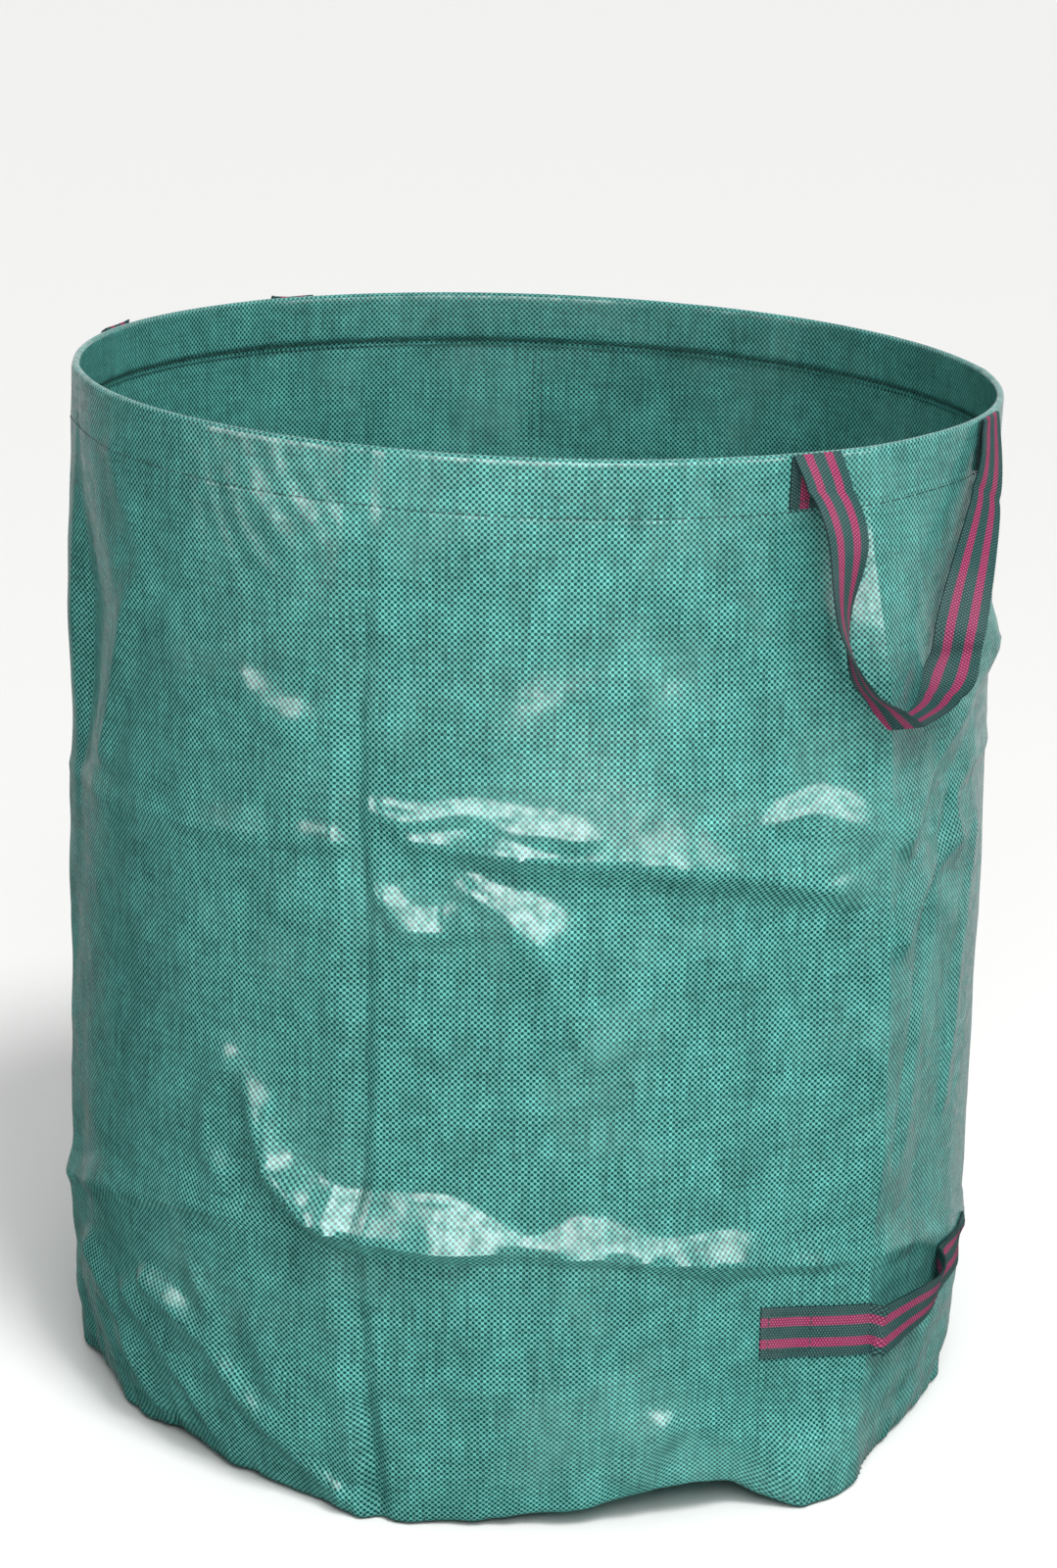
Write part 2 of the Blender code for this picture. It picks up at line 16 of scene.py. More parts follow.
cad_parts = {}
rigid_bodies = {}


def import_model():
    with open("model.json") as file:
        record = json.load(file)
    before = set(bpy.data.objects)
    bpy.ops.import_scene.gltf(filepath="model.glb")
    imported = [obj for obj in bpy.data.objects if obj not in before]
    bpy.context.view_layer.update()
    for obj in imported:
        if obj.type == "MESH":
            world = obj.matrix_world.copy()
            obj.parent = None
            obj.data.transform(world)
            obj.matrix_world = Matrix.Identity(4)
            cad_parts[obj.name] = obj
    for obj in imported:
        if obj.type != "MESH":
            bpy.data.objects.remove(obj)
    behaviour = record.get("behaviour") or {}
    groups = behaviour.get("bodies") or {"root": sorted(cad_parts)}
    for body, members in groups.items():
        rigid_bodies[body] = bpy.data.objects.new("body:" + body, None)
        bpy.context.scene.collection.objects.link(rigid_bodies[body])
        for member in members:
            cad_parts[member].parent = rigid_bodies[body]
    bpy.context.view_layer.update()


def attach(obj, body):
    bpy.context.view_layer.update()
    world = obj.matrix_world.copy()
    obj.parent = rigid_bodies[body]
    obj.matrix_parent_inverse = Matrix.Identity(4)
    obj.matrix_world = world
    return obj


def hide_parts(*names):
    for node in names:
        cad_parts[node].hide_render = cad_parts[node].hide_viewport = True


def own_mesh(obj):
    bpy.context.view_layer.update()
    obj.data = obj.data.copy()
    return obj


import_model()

# %% [markdown]
# ## The camera
# The rim, the wall's outline and the base were measured against a camera model. They fit a long lens
# 2.7 m in front of the bag, held 1.2 m up and tipped down by 16 degrees, with a slight roll. The camera's
# matrix is written from its three directions, because angles would hide which turn comes first.

# %% Set up the camera
CAMERA_PLACE = (-0.0080, -2.6667, 1.2094)
CAMERA_PITCH, CAMERA_YAW, CAMERA_ROLL = 0.2790, 0.0024, 0.0201
CAMERA_LENS = 85.3
SENSOR_WIDTH = 36  # millimetres, as the lens is

ahead = Vector((sin(CAMERA_YAW) * cos(CAMERA_PITCH), cos(CAMERA_YAW) * cos(CAMERA_PITCH), -sin(CAMERA_PITCH)))
level = Vector((cos(CAMERA_YAW), -sin(CAMERA_YAW), 0))
upward = level.cross(ahead)
rightward = level * cos(CAMERA_ROLL) + upward * sin(CAMERA_ROLL)
topward = upward * cos(CAMERA_ROLL) - level * sin(CAMERA_ROLL)

camera = bpy.data.objects.new("camera", bpy.data.cameras.new("camera"))
bpy.context.scene.collection.objects.link(camera)
camera.matrix_world = Matrix.Translation(CAMERA_PLACE) @ Matrix((rightward, topward, -ahead)).transposed().to_4x4()
camera.data.lens = CAMERA_LENS
camera.data.sensor_width = SENSOR_WIDTH
bpy.context.scene.camera = camera
print("camera looks along", [round(value, 3) for value in ahead])

# %% [markdown]
# ## Nodes
# The world and the materials are all built from shader nodes, so a few short functions come first. An
# input is either set to a value or linked to another node's output, and the same call does both.

# %% Define how nodes are placed
def fill(tree, node, values):
    """Set a node's inputs, or link those whose value is another node's output."""
    for socket, value in values.items():
        if isinstance(value, bpy.types.NodeSocket):
            tree.links.new(value, node.inputs[socket])
        else:
            node.inputs[socket].default_value = value
    return node


def add(tree, kind, inputs=None, **settings):
    node = tree.nodes.new(kind)
    for name, value in settings.items():
        setattr(node, name, value)
    return fill(tree, node, inputs or {})


def maths(tree, operation, *values, clamp=False):
    return add(tree, "ShaderNodeMath", dict(enumerate(values)), operation=operation, use_clamp=clamp).outputs[0]


def map_range(tree, value, low=0.0, high=1.0, to_low=0.0, to_high=1.0, **settings):
    limits = dict(enumerate((value, low, high, to_low, to_high)))
    return add(tree, "ShaderNodeMapRange", limits, **settings).outputs[0]


def new_material(name):
    made = bpy.data.materials.new(name)
    made.use_nodes = True
    return made, made.node_tree


def wire(tree, **values):
    """Fill sockets of the material's shader, named with underscores for spaces."""
    fill(tree, tree.nodes["Principled BSDF"], {name.replace("_", " "): value for name, value in values.items()})


# %% [markdown]
# ## Floor and light
# A pale floor that runs past the view gives a plain background and lights the cloth from below. It is
# kept out of the reflections, as if a black card lay there, so that the weave keeps its contrast. The world is
# plain and pale where the camera sees it, but it lights the bag only from above and behind, which keeps the
# shade of the folds in front. Shade and gloss come from different lamps. A soft box and the sun light the cloth
# and aren't mirrored in its film. Three low strips, in front and at the sides, are only mirrored, by folds
# that face up.

# %% Lay the floor
bpy.ops.object.select_all(action="DESELECT")
bpy.ops.mesh.primitive_plane_add(size=60)
floor = bpy.context.object
floor.name = "floor"
floor_paint, tree = new_material("floor_paint")
wire(tree, Base_Color=(0.82, 0.82, 0.81, 1), Roughness=0.9)
floor.data.materials.append(floor_paint)
floor.visible_glossy = False
print("floor", round(floor.dimensions.x), "m across")

# %% Light the world
SKY_TOWARDS = (0.30, 1.0, 1.2)  # up, behind and a little to the right
SKY_STRENGTH = 0.85

world = bpy.data.worlds.new("studio")
world.use_nodes = True
sky = world.node_tree
way = add(sky, "ShaderNodeTexCoord").outputs["Generated"]
facing = add(sky, "ShaderNodeVectorMath", {0: way, 1: SKY_TOWARDS}, operation="DOT_PRODUCT").outputs["Value"]
seen = add(sky, "ShaderNodeLightPath").outputs["Is Camera Ray"]
strength = maths(sky, "MAXIMUM", map_range(sky, facing, to_high=SKY_STRENGTH), seen)
fill(sky, sky.nodes["Background"], {"Color": (0.93, 0.93, 0.93, 1), "Strength": strength})
bpy.context.scene.world = world
print("sky of", len(sky.nodes), "nodes")

# %% Hang the lamps
BELLY = (0, 0, 0.35)  # what the strips look at


def hang(light, away):
    """Link a light that shines from the direction away."""
    light.rotation_euler = Vector(away).to_track_quat("Z", "Y").to_euler()
    bpy.context.scene.collection.objects.link(light)
    print(light.name, "shines from", [round(value, 2) for value in away])


def lamp(name, place, towards, size, watts, mirrored):
    """A soft lamp that is either mirrored in the film or lights the cloth."""
    made = bpy.data.objects.new(name, bpy.data.lights.new(name, "AREA"))
    made.data.shape = "RECTANGLE"
    made.data.size, made.data.size_y = size
    made.data.energy = watts
    made.location = place
    made.visible_camera = False
    made.visible_glossy = mirrored
    made.visible_diffuse = not mirrored
    hang(made, Vector(place) - Vector(towards))


lamp("softbox", (0.20, -2.00, 1.75), (0, 0, 0.38), (1.1, 1.3), 38, False)
lamp("front_strip", (0.15, -2.45, 1.02), BELLY, (2.8, 1.00), 98, True)
lamp("right_strip", (1.95, -1.35, 1.00), BELLY, (1.6, 0.75), 30, True)
lamp("left_strip", (-2.00, -1.15, 0.85), BELLY, (1.6, 0.80), 28, True)

sun = bpy.data.objects.new("sun", bpy.data.lights.new("sun", "SUN"))
sun.data.energy = 2.1
sun.data.angle = radians(16)
sun.visible_glossy = False
hang(sun, (0.36, -0.58, 1.00))
bpy.context.scene.view_settings.view_transform = "Standard"

# %% [markdown]
# ## The bag's plain form
# Azimuths go round the bag in degrees, from 0 at the front towards the right. The cloth is a drum
# that is a little narrower at its foot, fullest at the lower fold, and flattened between its upright creases.
# The same values made the measured model, so that the dressed cloth lies where its solid is. The
# rim leans back to the left by about a degree, and the top of the wall leans with it.

# %% Define the plain form
BAG_RADIUS = 0.335
BAG_HEIGHT = 0.760
RIM_DIP = 1.1  # degrees
RIM_DIP_TOWARDS = 63.0
FOOT_RADIUS = BAG_RADIUS - 0.0050
BELLY_RADIUS = BAG_RADIUS + 0.0046
LOWER_FOLD = 0.200
CREASES = (-80.0, -20.0, 43.0, 100.0, 160.0, 220.0, 280.0)
PANEL_SINK = 0.004


def outward(azimuth):
    return Vector((sin(radians(azimuth)), -cos(radians(azimuth)), 0))


def along(azimuth):
    return Vector((cos(radians(azimuth)), sin(radians(azimuth)), 0))


def below(height, top):
    """1 on the floor, falling to 0 at the top."""
    return np.clip(1 - height / top, 0, 1)


RIM_TURN = Matrix.Rotation(radians(RIM_DIP), 4, along(RIM_DIP_TOWARDS))
RIM_FRAME = Matrix.Translation((0, 0, BAG_HEIGHT)) @ RIM_TURN


def rim_drop(azimuth):
    """How far the rim is below its mean height."""
    return BAG_RADIUS * sin(radians(RIM_DIP)) * np.cos(np.radians(azimuth - RIM_DIP_TOWARDS))


def panel_share(azimuth):
    """0 on an upright crease and 1 in the middle of the panel between two creases."""
    edges = np.array(CREASES)
    turned = (azimuth - edges[0]) % 360 + edges[0]
    first = np.clip(np.searchsorted(edges, turned, side="right") - 1, 0, len(edges) - 2)
    share = (turned - edges[first]) / (edges[first + 1] - edges[first])
    return 4 * share * (1 - share)


def plain_radius(azimuth, height):
    """Radius of the drum without its folds."""
    low = below(height, LOWER_FOLD)
    rise = np.clip((height - LOWER_FOLD) / (BAG_HEIGHT - LOWER_FOLD), 0, 1)
    radius = FOOT_RADIUS + (BELLY_RADIUS - FOOT_RADIUS) * np.sqrt(1 - low * low)
    radius = radius + (BAG_RADIUS - BELLY_RADIUS) * rise
    return radius - PANEL_SINK * panel_share(azimuth) * (1 - np.clip(height / BAG_HEIGHT, 0, 1) ** 4)


print("radius at the belly", round(float(plain_radius(43, LOWER_FOLD)), 4))

# %% [markdown]
# ## Folds, dents and crumples
# The bag was packed flat and still shows it. A real fold is a line where stiff, filmed cloth bends sharply
# and then runs straight for a few centimetres. So each fold here is a line of places, a rise, and a reach
# to each side: near the line the cloth is a sloping facet, and a facet that faces up catches a lamp. A
# fold grows from nothing at its ends. Smooth noise adds the soft unevenness between folds. It is read at
# the place on the drum, so it meets itself at the back.

# %% Define folds and soft noise
END_REACH = 0.35  # share of a fold's reach that is left at its ends


def fold(azimuth, height, spread, line, rise, reach, power=1.3, fade=0.02):
    """How far a fold moves the cloth out. Its reach, to the left and right of the line, is times spread."""
    turned = (azimuth - line[0][0] + 180) % 360 - 180 + line[0][0]
    x, y = np.radians(turned) * BAG_RADIUS, height
    nearest = np.full(np.shape(x), np.inf)
    on_left = np.zeros(np.shape(x), bool)
    place = np.zeros(np.shape(x))
    run = 0
    for (a, h), (b, k) in zip(line, line[1:]):
        dx, dy = radians(b - a) * BAG_RADIUS, k - h
        length = sqrt(dx * dx + dy * dy)
        from_x, from_y = x - radians(a) * BAG_RADIUS, y - h
        share = np.clip((from_x * dx + from_y * dy) / length**2, 0, 1)
        off_x, off_y = from_x - share * dx, from_y - share * dy
        away = np.hypot(off_x, off_y)
        closer = away < nearest
        nearest = np.where(closer, away, nearest)
        on_left = np.where(closer, dx * off_y - dy * off_x > 0, on_left)
        place = np.where(closer, run + share * length, place)
        run += length
    end = np.clip(np.minimum(place, run - place) / fade, 0, 1)
    end = end * end * (3 - 2 * end)
    wide = np.where(on_left, reach[0], reach[1]) * spread * (END_REACH + (1 - END_REACH) * end)
    return rise * end * np.clip(1 - nearest / wide, 0, 1) ** power


def noise_places(azimuth, height, size, stretch, seed):
    """Where noise with bumps about size across is read, for places on the drum."""
    way = np.radians(azimuth)
    axes = (np.sin(way) * BAG_RADIUS / size + seed, np.cos(way) * BAG_RADIUS / size, height * stretch / size)
    return np.stack(np.broadcast_arrays(*axes), axis=-1)


def soft(azimuth, height, size, stretch=1.0, seed=0.0):
    """Smooth noise, drawn out upwards where stretch is under 1."""
    places = noise_places(azimuth, height, size, stretch, seed)
    return np.array([noise.noise(place) for place in places.reshape(-1, 3)]).reshape(places.shape[:-1])


def crumple(azimuth, height, size, seed):
    """Flat facets with straight sharp valleys between them."""
    places = noise_places(azimuth, height, size, 1.0, seed)
    reaches = [noise.voronoi(place)[0] for place in places.reshape(-1, 3)]
    return np.array([min(second - first, 0.6) for first, second, _, _ in reaches]).reshape(places.shape[:-1])


def bell(value, middle, width):
    return np.exp(-(((value - middle) / width) ** 2))


# %% [markdown]
# The creases were read off the front of the bag, as pairs of azimuth and height. A line that goes right
# has the cloth above it on its left, and a line that goes down has the cloth to its right there. The
# longest creases keep an even width, and all other folds swell, narrow and wander a little. The
# back gets folds of the same kind, because it was packed the same way.

# %% Place the folds
RIGHT_CREASE = (
    (40.3, 0.8), (40.3, 0.738), (41.3, 0.658), (42.2, 0.563), (43.4, 0.451), (44.2, 0.343), (44.5, 0.17),
    (44.9, 0.12), (43.5, 0.053), (40.3, 0), (40.3, -0.05),
)
LEFT_CREASE = (
    (-18.6, 0.8), (-18.8, 0.69), (-20, 0.567), (-20, 0.508), (-19.1, 0.466), (-18.8, 0.398), (-18.7, 0.328),
    (-19, 0.257), (-20, 0.205), (-19.2, 0.15), (-18.7, 0.113), (-17.1, 0.055), (-16, 0), (-16, -0.05),
)

# line, rise, reach to the left and right of it, power that hollows its slopes, length of its fading ends
EVEN_FOLDS = (
    # the two main creases, the swelling along the right one, the hollow at the far left, the main upper fold
    (RIGHT_CREASE, 0.011, (0.07, 0.06), 1.1),
    (LEFT_CREASE, -0.005, (0.009, 0.024), 1.1),
    (RIGHT_CREASE[1:7], 0.0085, (0.1, 0.09), 1.1, 0.1),
    (((-74.5, 0.77), (-74.5, 0.62), (-75.5, 0.43)), -0.012, (0.085, 0.022), 1, 0.16),
    (((-10, 0.494), (10.9, 0.486), (22.7, 0.475), (33.4, 0.46), (43.7, 0.435)), 0.0135, (0.14, 0.02), 1.4, 0.06),
)
FOLDS = (
    # lower fold with its glossy facets, from the left round to the right
    (((-90, 0.143), (-82.9, 0.147), (-58.3, 0.185), (-41.5, 0.206), (-24.1, 0.213)),
     0.006, (0.028, 0.012), 1.1, 0.12),
    (((-37, 0.335), (-33.9, 0.295), (-30.6, 0.248), (-25.5, 0.224), (-20.9, 0.216), (-8, 0.213), (6, 0.21)),
     0.015, (0.033, 0.013), 1, 0.1),
    (((-2, 0.21), (9, 0.2085), (19.5, 0.2), (31, 0.188), (43.4, 0.176)), 0.01, (0.024, 0.011), 1, 0.05),
    (((43.8, 0.178), (56.5, 0.163), (82.5, 0.124), (104, 0.128)), 0.004, (0.022, 0.012), 1.3),
    (((100, 0.128), (128, 0.16), (160, 0.19), (182, 0.204)), 0.005, (0.024, 0.014), 1.3, 0.06),
    (((178, 0.204), (204, 0.196), (222, 0.176), (246, 0.16), (262, 0.14)), 0.005, (0.022, 0.014), 1.3, 0.06),
    # upper fold
    (((-88, 0.47), (-70.4, 0.471), (-42.6, 0.481), (-28, 0.487), (-20, 0.508)), 0.003, (0.02, 0.012), 1.1, 0.12),
    (((-19.5, 0.524), (-13.6, 0.497), (-0.2, 0.493), (5, 0.49)), 0.0064, (0.026, 0.013), 1, 0.05),
    (((43.9, 0.45), (56, 0.47), (67.7, 0.503), (86, 0.498), (102, 0.482)), 0.003, (0.02, 0.014), 1.3, 0.06),
    (((98, 0.482), (126, 0.47), (161, 0.5), (186, 0.492)), 0.004, (0.02, 0.014), 1.3, 0.06),
    (((182, 0.488), (219, 0.468), (243, 0.49), (266, 0.47)), 0.004, (0.022, 0.014), 1.3, 0.06),
    # short folds that run out from where the left crease meets the upper fold
    (tuple((azimuth - 3, height) for azimuth, height in LEFT_CREASE), 0.0022, (0.012, 0.014), 1.1),
    (((-20.5, 0.514), (-14.2, 0.513), (-6.9, 0.519), (8, 0.502)), 0.0034, (0.015, 0.01), 1),
    (((-29.8, 0.487), (-20, 0.492)), 0.0028, (0.012, 0.012), 1.1),
    (((-29.2, 0.58), (-29.2, 0.48)), 0.002, (0.03, 0.014), 1.2),
    (((-18.9, 0.47), (-14, 0.434), (-9, 0.436), (-4, 0.45)), 0.0048, (0.022, 0.01), 1),
    (((-8.5, 0.474), (-5, 0.463), (-1.5, 0.45)), 0.002, (0.008, 0.012), 1.1),
    (((-9, 0.48), (1.1, 0.427), (8.5, 0.335)), 0.0065, (0.036, 0.03), 1.4),
    (((26, 0.505), (32.9, 0.512), (43.2, 0.487)), 0.0036, (0.018, 0.014), 1),
    (((33, 0.452), (38, 0.458), (43.5, 0.447)), 0.003, (0.014, 0.008), 1),
    # the kite-shaped facet and the narrow strip beside it at the left
    (((-63, 0.74), (-52.1, 0.658), (-56.6, 0.619), (-66, 0.49)), 0.0044, (0.024, 0.02), 1.1),
    (((-37, 0.598), (-35, 0.59), (-31.5, 0.572), (-24.4, 0.57)), 0.0034, (0.017, 0.02), 1),
    # the full curve left of the glossy facet, and the ridge down to the foot
    (((-35.5, 0.335), (-41.1, 0.29), (-41.4, 0.251), (-36, 0.224)), 0.005, (0.018, 0.026), 1.2),
    (((-56, 0.132), (-51.2, 0.124), (-41, 0.105), (-35.5, 0.072), (-27.6, 0.032), (-19, 0.008)),
     0.009, (0.016, 0.02), 1),
    (((-62, 0.11), (-52, 0.088), (-45, 0.058), (-41, 0.018)), 0.005, (0.014, 0.016), 1),
    (((-36, 0.15), (-32, 0.1), (-27, 0.05), (-24, 0.01)), 0.0038, (0.02, 0.018), 1),
    (((-45, 0.168), (-43.5, 0.15), (-38, 0.1)), 0.0046, (0.016, 0.016), 1.1),
    (((-75, 0.12), (-66, 0.095), (-58, 0.06), (-52, 0.014)), 0.006, (0.02, 0.02), 1.1),
    (((-18.9, 0.1), (-17.6, 0.036), (-16.5, -0.03)), -0.0065, (0.011, 0.013), 1.1),
    (((20, 0.092), (18.3, 0.083), (14.2, 0.045), (12, 0.02)), 0.0062, (0.018, 0.022), 1.1),
    (((18.3, 0.083), (24, 0.07), (30, 0.046)), 0.0028, (0.016, 0.016), 1.2),
    (((2, 0.11), (-3, 0.062), (-5, 0.012)), 0.0024, (0.022, 0.022), 1.4),
    # slanting folds on the right-hand panel
    (((43.9, 0.475), (53.3, 0.515), (66, 0.56), (80, 0.585)), 0.0085, (0.045, 0.026), 1),
    (((44.9, 0.395), (52.3, 0.439), (67.6, 0.459)), 0.007, (0.03, 0.022), 1),
    (((62, 0.5), (55, 0.415), (50, 0.3), (47, 0.23)), -0.0046, (0.018, 0.014), 1.2),
    (((74, 0.47), (67, 0.36), (64, 0.235)), 0.003, (0.018, 0.016), 1.2),
    # the back, which was packed the same way
    (((100, 0.8), (100, 0.4), (101, 0), (101, -0.05)), 0.005, (0.05, 0.05), 1.4),
    (((160, 0.8), (159, 0.4), (160, 0), (160, -0.05)), -0.0034, (0.022, 0.022), 1.3),
    (((220, 0.8), (221, 0.4), (219, 0), (219, -0.05)), 0.005, (0.055, 0.05), 1.4),
    (((-80, 0.8), (-80.5, 0.45), (-80, 0.15), (-83, 0), (-83, -0.05)), 0.0045, (0.04, 0.045), 1.4),
    (((112, 0.66), (126, 0.6), (140, 0.615), (156, 0.585)), 0.003, (0.016, 0.022), 1.2),
    (((168, 0.36), (186, 0.322), (208, 0.338)), 0.0036, (0.02, 0.018), 1.2),
    (((206, 0.62), (214, 0.55), (232, 0.535)), 0.003, (0.018, 0.016), 1.2),
    (((120, 0.35), (134, 0.29), (150, 0.275)), 0.0034, (0.02, 0.018), 1.2),
    (((236, 0.37), (250, 0.3), (268, 0.282)), 0.0032, (0.02, 0.018), 1.2),
)

# rise, size, stretch and seed of soft bumps
WANDER = (0.0030, 0.070, 1.0, 11.7)  # of the folds, up and down
SPREAD = (0.60, 0.060, 1.0, 31.4)  # of the folds' width, as a share
BROAD_BUMPS = (0.0018, 0.150, 1.0, 0.0)
SMALL_BUMPS = (0.0008, 0.055, 0.8, 7.3)
RIDGES = (0.0024, 0.105, 0.9, 3.1)
PRESSED = (2.5, 0.120, 1.0, 61.2)  # where the cloth is crumpled more
FOOT_BUMPS = (0.0042, 0.042, 0.45, 1.7)
FOOT_RIPPLES = (0.0026, 0.060, 2.4, 51.7)
HEM_FOOT_BUMPS = (0.0034, 0.017, 0.5, 71.3)
HEM_FOOT_NICKS = (0.0030, 0.040, 0.7, 81.9)
PUCKERS = (0.0007, 0.011, 0.25, 5.9)  # at the hem's stitches
CRUMPLES = (0.0010, 0.055, 4.4)  # rise, size and seed

HELD_WITHIN = 0.16  # below the rim
LOOSE_WITHIN = 0.12
FOOT_TOP = 0.170  # how far up the foot's own bumps reach
HEM_FOOT_TOP = 0.060
PUCKERED = (0.722, 0.020)  # middle and width of the band of puckers
GATHERS = (-33, 11, 0.695, 0.050)  # middle and width of their place, round the bag and up
GATHER_RISE = 0.0006
GATHER_PITCH = 0.023
GATHER_SLANT = (0.90, 0.44)
GATHER_WAVER = (0.6, 0.060, 1.0, 41.3)


def bumps(azimuth, height, rise, *kind):
    return rise * soft(azimuth, height, *kind)


def cloth_shift(azimuth, height):
    """How far all folds and crumples move the cloth out from the plain form."""
    at = (azimuth, height)
    held = np.clip((BAG_HEIGHT - height) / HELD_WITHIN, 0.35, 1)  # the hoop keeps the rim round
    loose = np.clip((BAG_HEIGHT - height) / LOOSE_WITHIN, 0.10, 1)
    foot = below(height, FOOT_TOP)
    hem_foot = below(height, HEM_FOOT_TOP)
    spread = np.clip(1 + bumps(*at, *SPREAD), 0.5, 1.5)
    wandering = height + bumps(*at, *WANDER)
    shift = sum(fold(azimuth, height, 1.0, *one) for one in EVEN_FOLDS) * held
    shift = shift + sum(fold(azimuth, wandering, spread, *one) for one in FOLDS) * held * spread
    shift = shift + loose * (bumps(*at, *BROAD_BUMPS) + bumps(*at, *SMALL_BUMPS))
    shift = shift + loose * (RIDGES[0] / 4 - np.abs(bumps(*at, *RIDGES)))
    pressed = 0.5 + 0.5 * np.clip(1 + bumps(*at, *PRESSED), 0, 2) + foot
    shift = shift + loose * pressed * CRUMPLES[0] * (crumple(*at, *CRUMPLES[1:]) - 0.3)
    shift = shift + foot * bumps(*at, *FOOT_BUMPS)
    shift = shift + np.clip(foot * 1.6, 0, 1) * bumps(*at, *FOOT_RIPPLES)
    shift = shift + hem_foot * (bumps(*at, *HEM_FOOT_BUMPS) - np.abs(bumps(*at, *HEM_FOOT_NICKS)))
    gathered = bell(azimuth, *GATHERS[:2]) * bell(height, *GATHERS[2:])
    slant = (np.radians(azimuth) * BAG_RADIUS * GATHER_SLANT[0] + height * GATHER_SLANT[1]) / GATHER_PITCH
    slant = slant + bumps(*at, *GATHER_WAVER)
    shift = shift + GATHER_RISE * gathered * np.sin(2 * pi * slant)
    return shift + bell(height, *PUCKERED) * bumps(*at, *PUCKERS)


print(len(EVEN_FOLDS) + len(FOLDS), "folds")

# %% [markdown]
# ## Where the wall meets the floor
# The foot isn't a true circle. It sticks out in lobes, draws in between them, and at the front right the
# cloth is lifted off the floor in a low arch. A short list of places round the foot holds its radius and
# its lift, and a smooth curve runs through them.

# %% Define the foot
# azimuth, radius on the floor, lift off it
FOOT = (
    (-180, 0.325, 0), (-165, 0.328, 0), (-152, 0.319, 0), (-140, 0.334, 0.001), (-124, 0.321, 0),
    (-110, 0.327, 0.004), (-98, 0.32, 0), (-88, 0.335, 0), (-78, 0.325, 0.002), (-70, 0.319, 0), (-60, 0.325, 0),
    (-53, 0.31, 0.003), (-45, 0.313, 0), (-35, 0.317, 0), (-27, 0.324, 0), (-20, 0.334, 0), (-14, 0.332, 0),
    (-5, 0.324, 0.002), (2, 0.326, 0.009), (9, 0.328, 0.014), (14, 0.329, 0.021), (21, 0.331, 0.027),
    (27, 0.334, 0.022), (31, 0.342, 0.009), (35, 0.35, 0), (39, 0.345, 0), (43, 0.342, 0), (48, 0.333, 0),
    (56, 0.324, 0), (66, 0.3225, 0.002), (76, 0.326, 0), (88, 0.33, 0), (100, 0.334, 0), (112, 0.322, 0.003),
    (124, 0.328, 0), (138, 0.32, 0), (150, 0.325, 0.002), (160, 0.333, 0), (170, 0.322, 0),
)
LOBE_HEIGHT = 0.085  # how far up the wall the lobes reach


def between(p, q, r, s, share):
    """The value a share of the way from q to r, on a smooth curve that comes from p and goes on to s."""
    curve = (r - p) * share + (2 * p - 5 * q + 4 * r - s) * share**2 + (3 * q - p - 3 * r + s) * share**3
    return 0.5 * (2 * q + curve)


def foot_values(azimuth):
    """Radius and lift of the foot, on smooth curves through the listed places."""
    rows = np.array(FOOT)
    places = np.append(rows[:, 0], rows[0, 0] + 360)
    turned = (azimuth + 180) % 360 - 180
    first = np.clip(np.searchsorted(places, turned, side="right") - 1, 0, len(FOOT) - 1)
    share = (turned - places[first]) / (places[first + 1] - places[first])
    four = [rows[(first + step) % len(FOOT)] for step in (-1, 0, 1, 2)]
    radius, lift = (between(*(row[..., column] for row in four), share) for column in (1, 2))
    return radius, np.clip(lift, 0, 1)


def cloth_radius(azimuth, height):
    """Outer radius of the dressed wall."""
    low = below(height, LOBE_HEIGHT) ** 2
    radius = plain_radius(azimuth, height)
    return radius + low * (foot_values(azimuth)[0] - FOOT_RADIUS) + cloth_shift(azimuth, height)


print("the foot reaches", round(float(cloth_radius(35, 0)), 3), "m at its front lobe")

# %% [markdown]
# ## Columns that follow the creases
# A crease looks sharp only where a line of corners runs along it. The wall's columns are therefore closer
# together near the creases in front, and they lean with the two main ones on the way down.

# %% Space the columns
COLUMNS = 440
# azimuth, line that the columns follow, how much closer together they are
CREASE_STATIONS = ((43.0, RIGHT_CREASE, 2.4), (-19.0, LEFT_CREASE, 2.0), (-75.0, None, 0.9))
CLOSER_WITHIN = 3.5  # degrees from a crease
LEAN_WITHIN = 9

fine = np.linspace(-180, 180, 7201)
density = 0.75 + 0.65 * np.exp(-((fine / 95) ** 6))  # the back has fewer
density = density + sum(extra * bell(fine, at, CLOSER_WITHIN) for at, _, extra in CREASE_STATIONS)
share_of = np.cumsum(density) / density.sum()
share_of = (share_of - share_of[0]) / (share_of[-1] - share_of[0])
STATIONS = np.interp(np.linspace(0, 1, COLUMNS + 1), share_of, fine)
for at, _, _ in CREASE_STATIONS:
    STATIONS[np.argmin(np.abs(STATIONS - at))] = at


def leaned(station, height):
    """The azimuth of a column at a height."""
    azimuth = np.array(station, float)
    for at, line, _ in CREASE_STATIONS:
        if line:
            azimuths, heights = zip(*line[::-1])
            azimuth = azimuth + (np.interp(height, heights, azimuths) - at) * bell(station, at, LEAN_WITHIN)
    return azimuth


closest = radians(float(np.diff(STATIONS).min())) * BAG_RADIUS
print(COLUMNS, "columns,", round(closest * 1000, 2), "mm at the closest")

# %% [markdown]
# ## Cutting cloth
# Every woven piece starts as it does in the workshop: a flat rectangle. A grid is added, and each of its
# corners is moved to its place on the bag. The UV map keeps where that corner was in the flat cloth,
# in metres, so the weave stays even however the cloth is bent. Where the rectangle closes into a ring its two
# edges are merged, and Solidify then gives the cloth its thickness, inwards. Each finished piece rides a
# body of the frame and takes the place of a piece of the measured model.

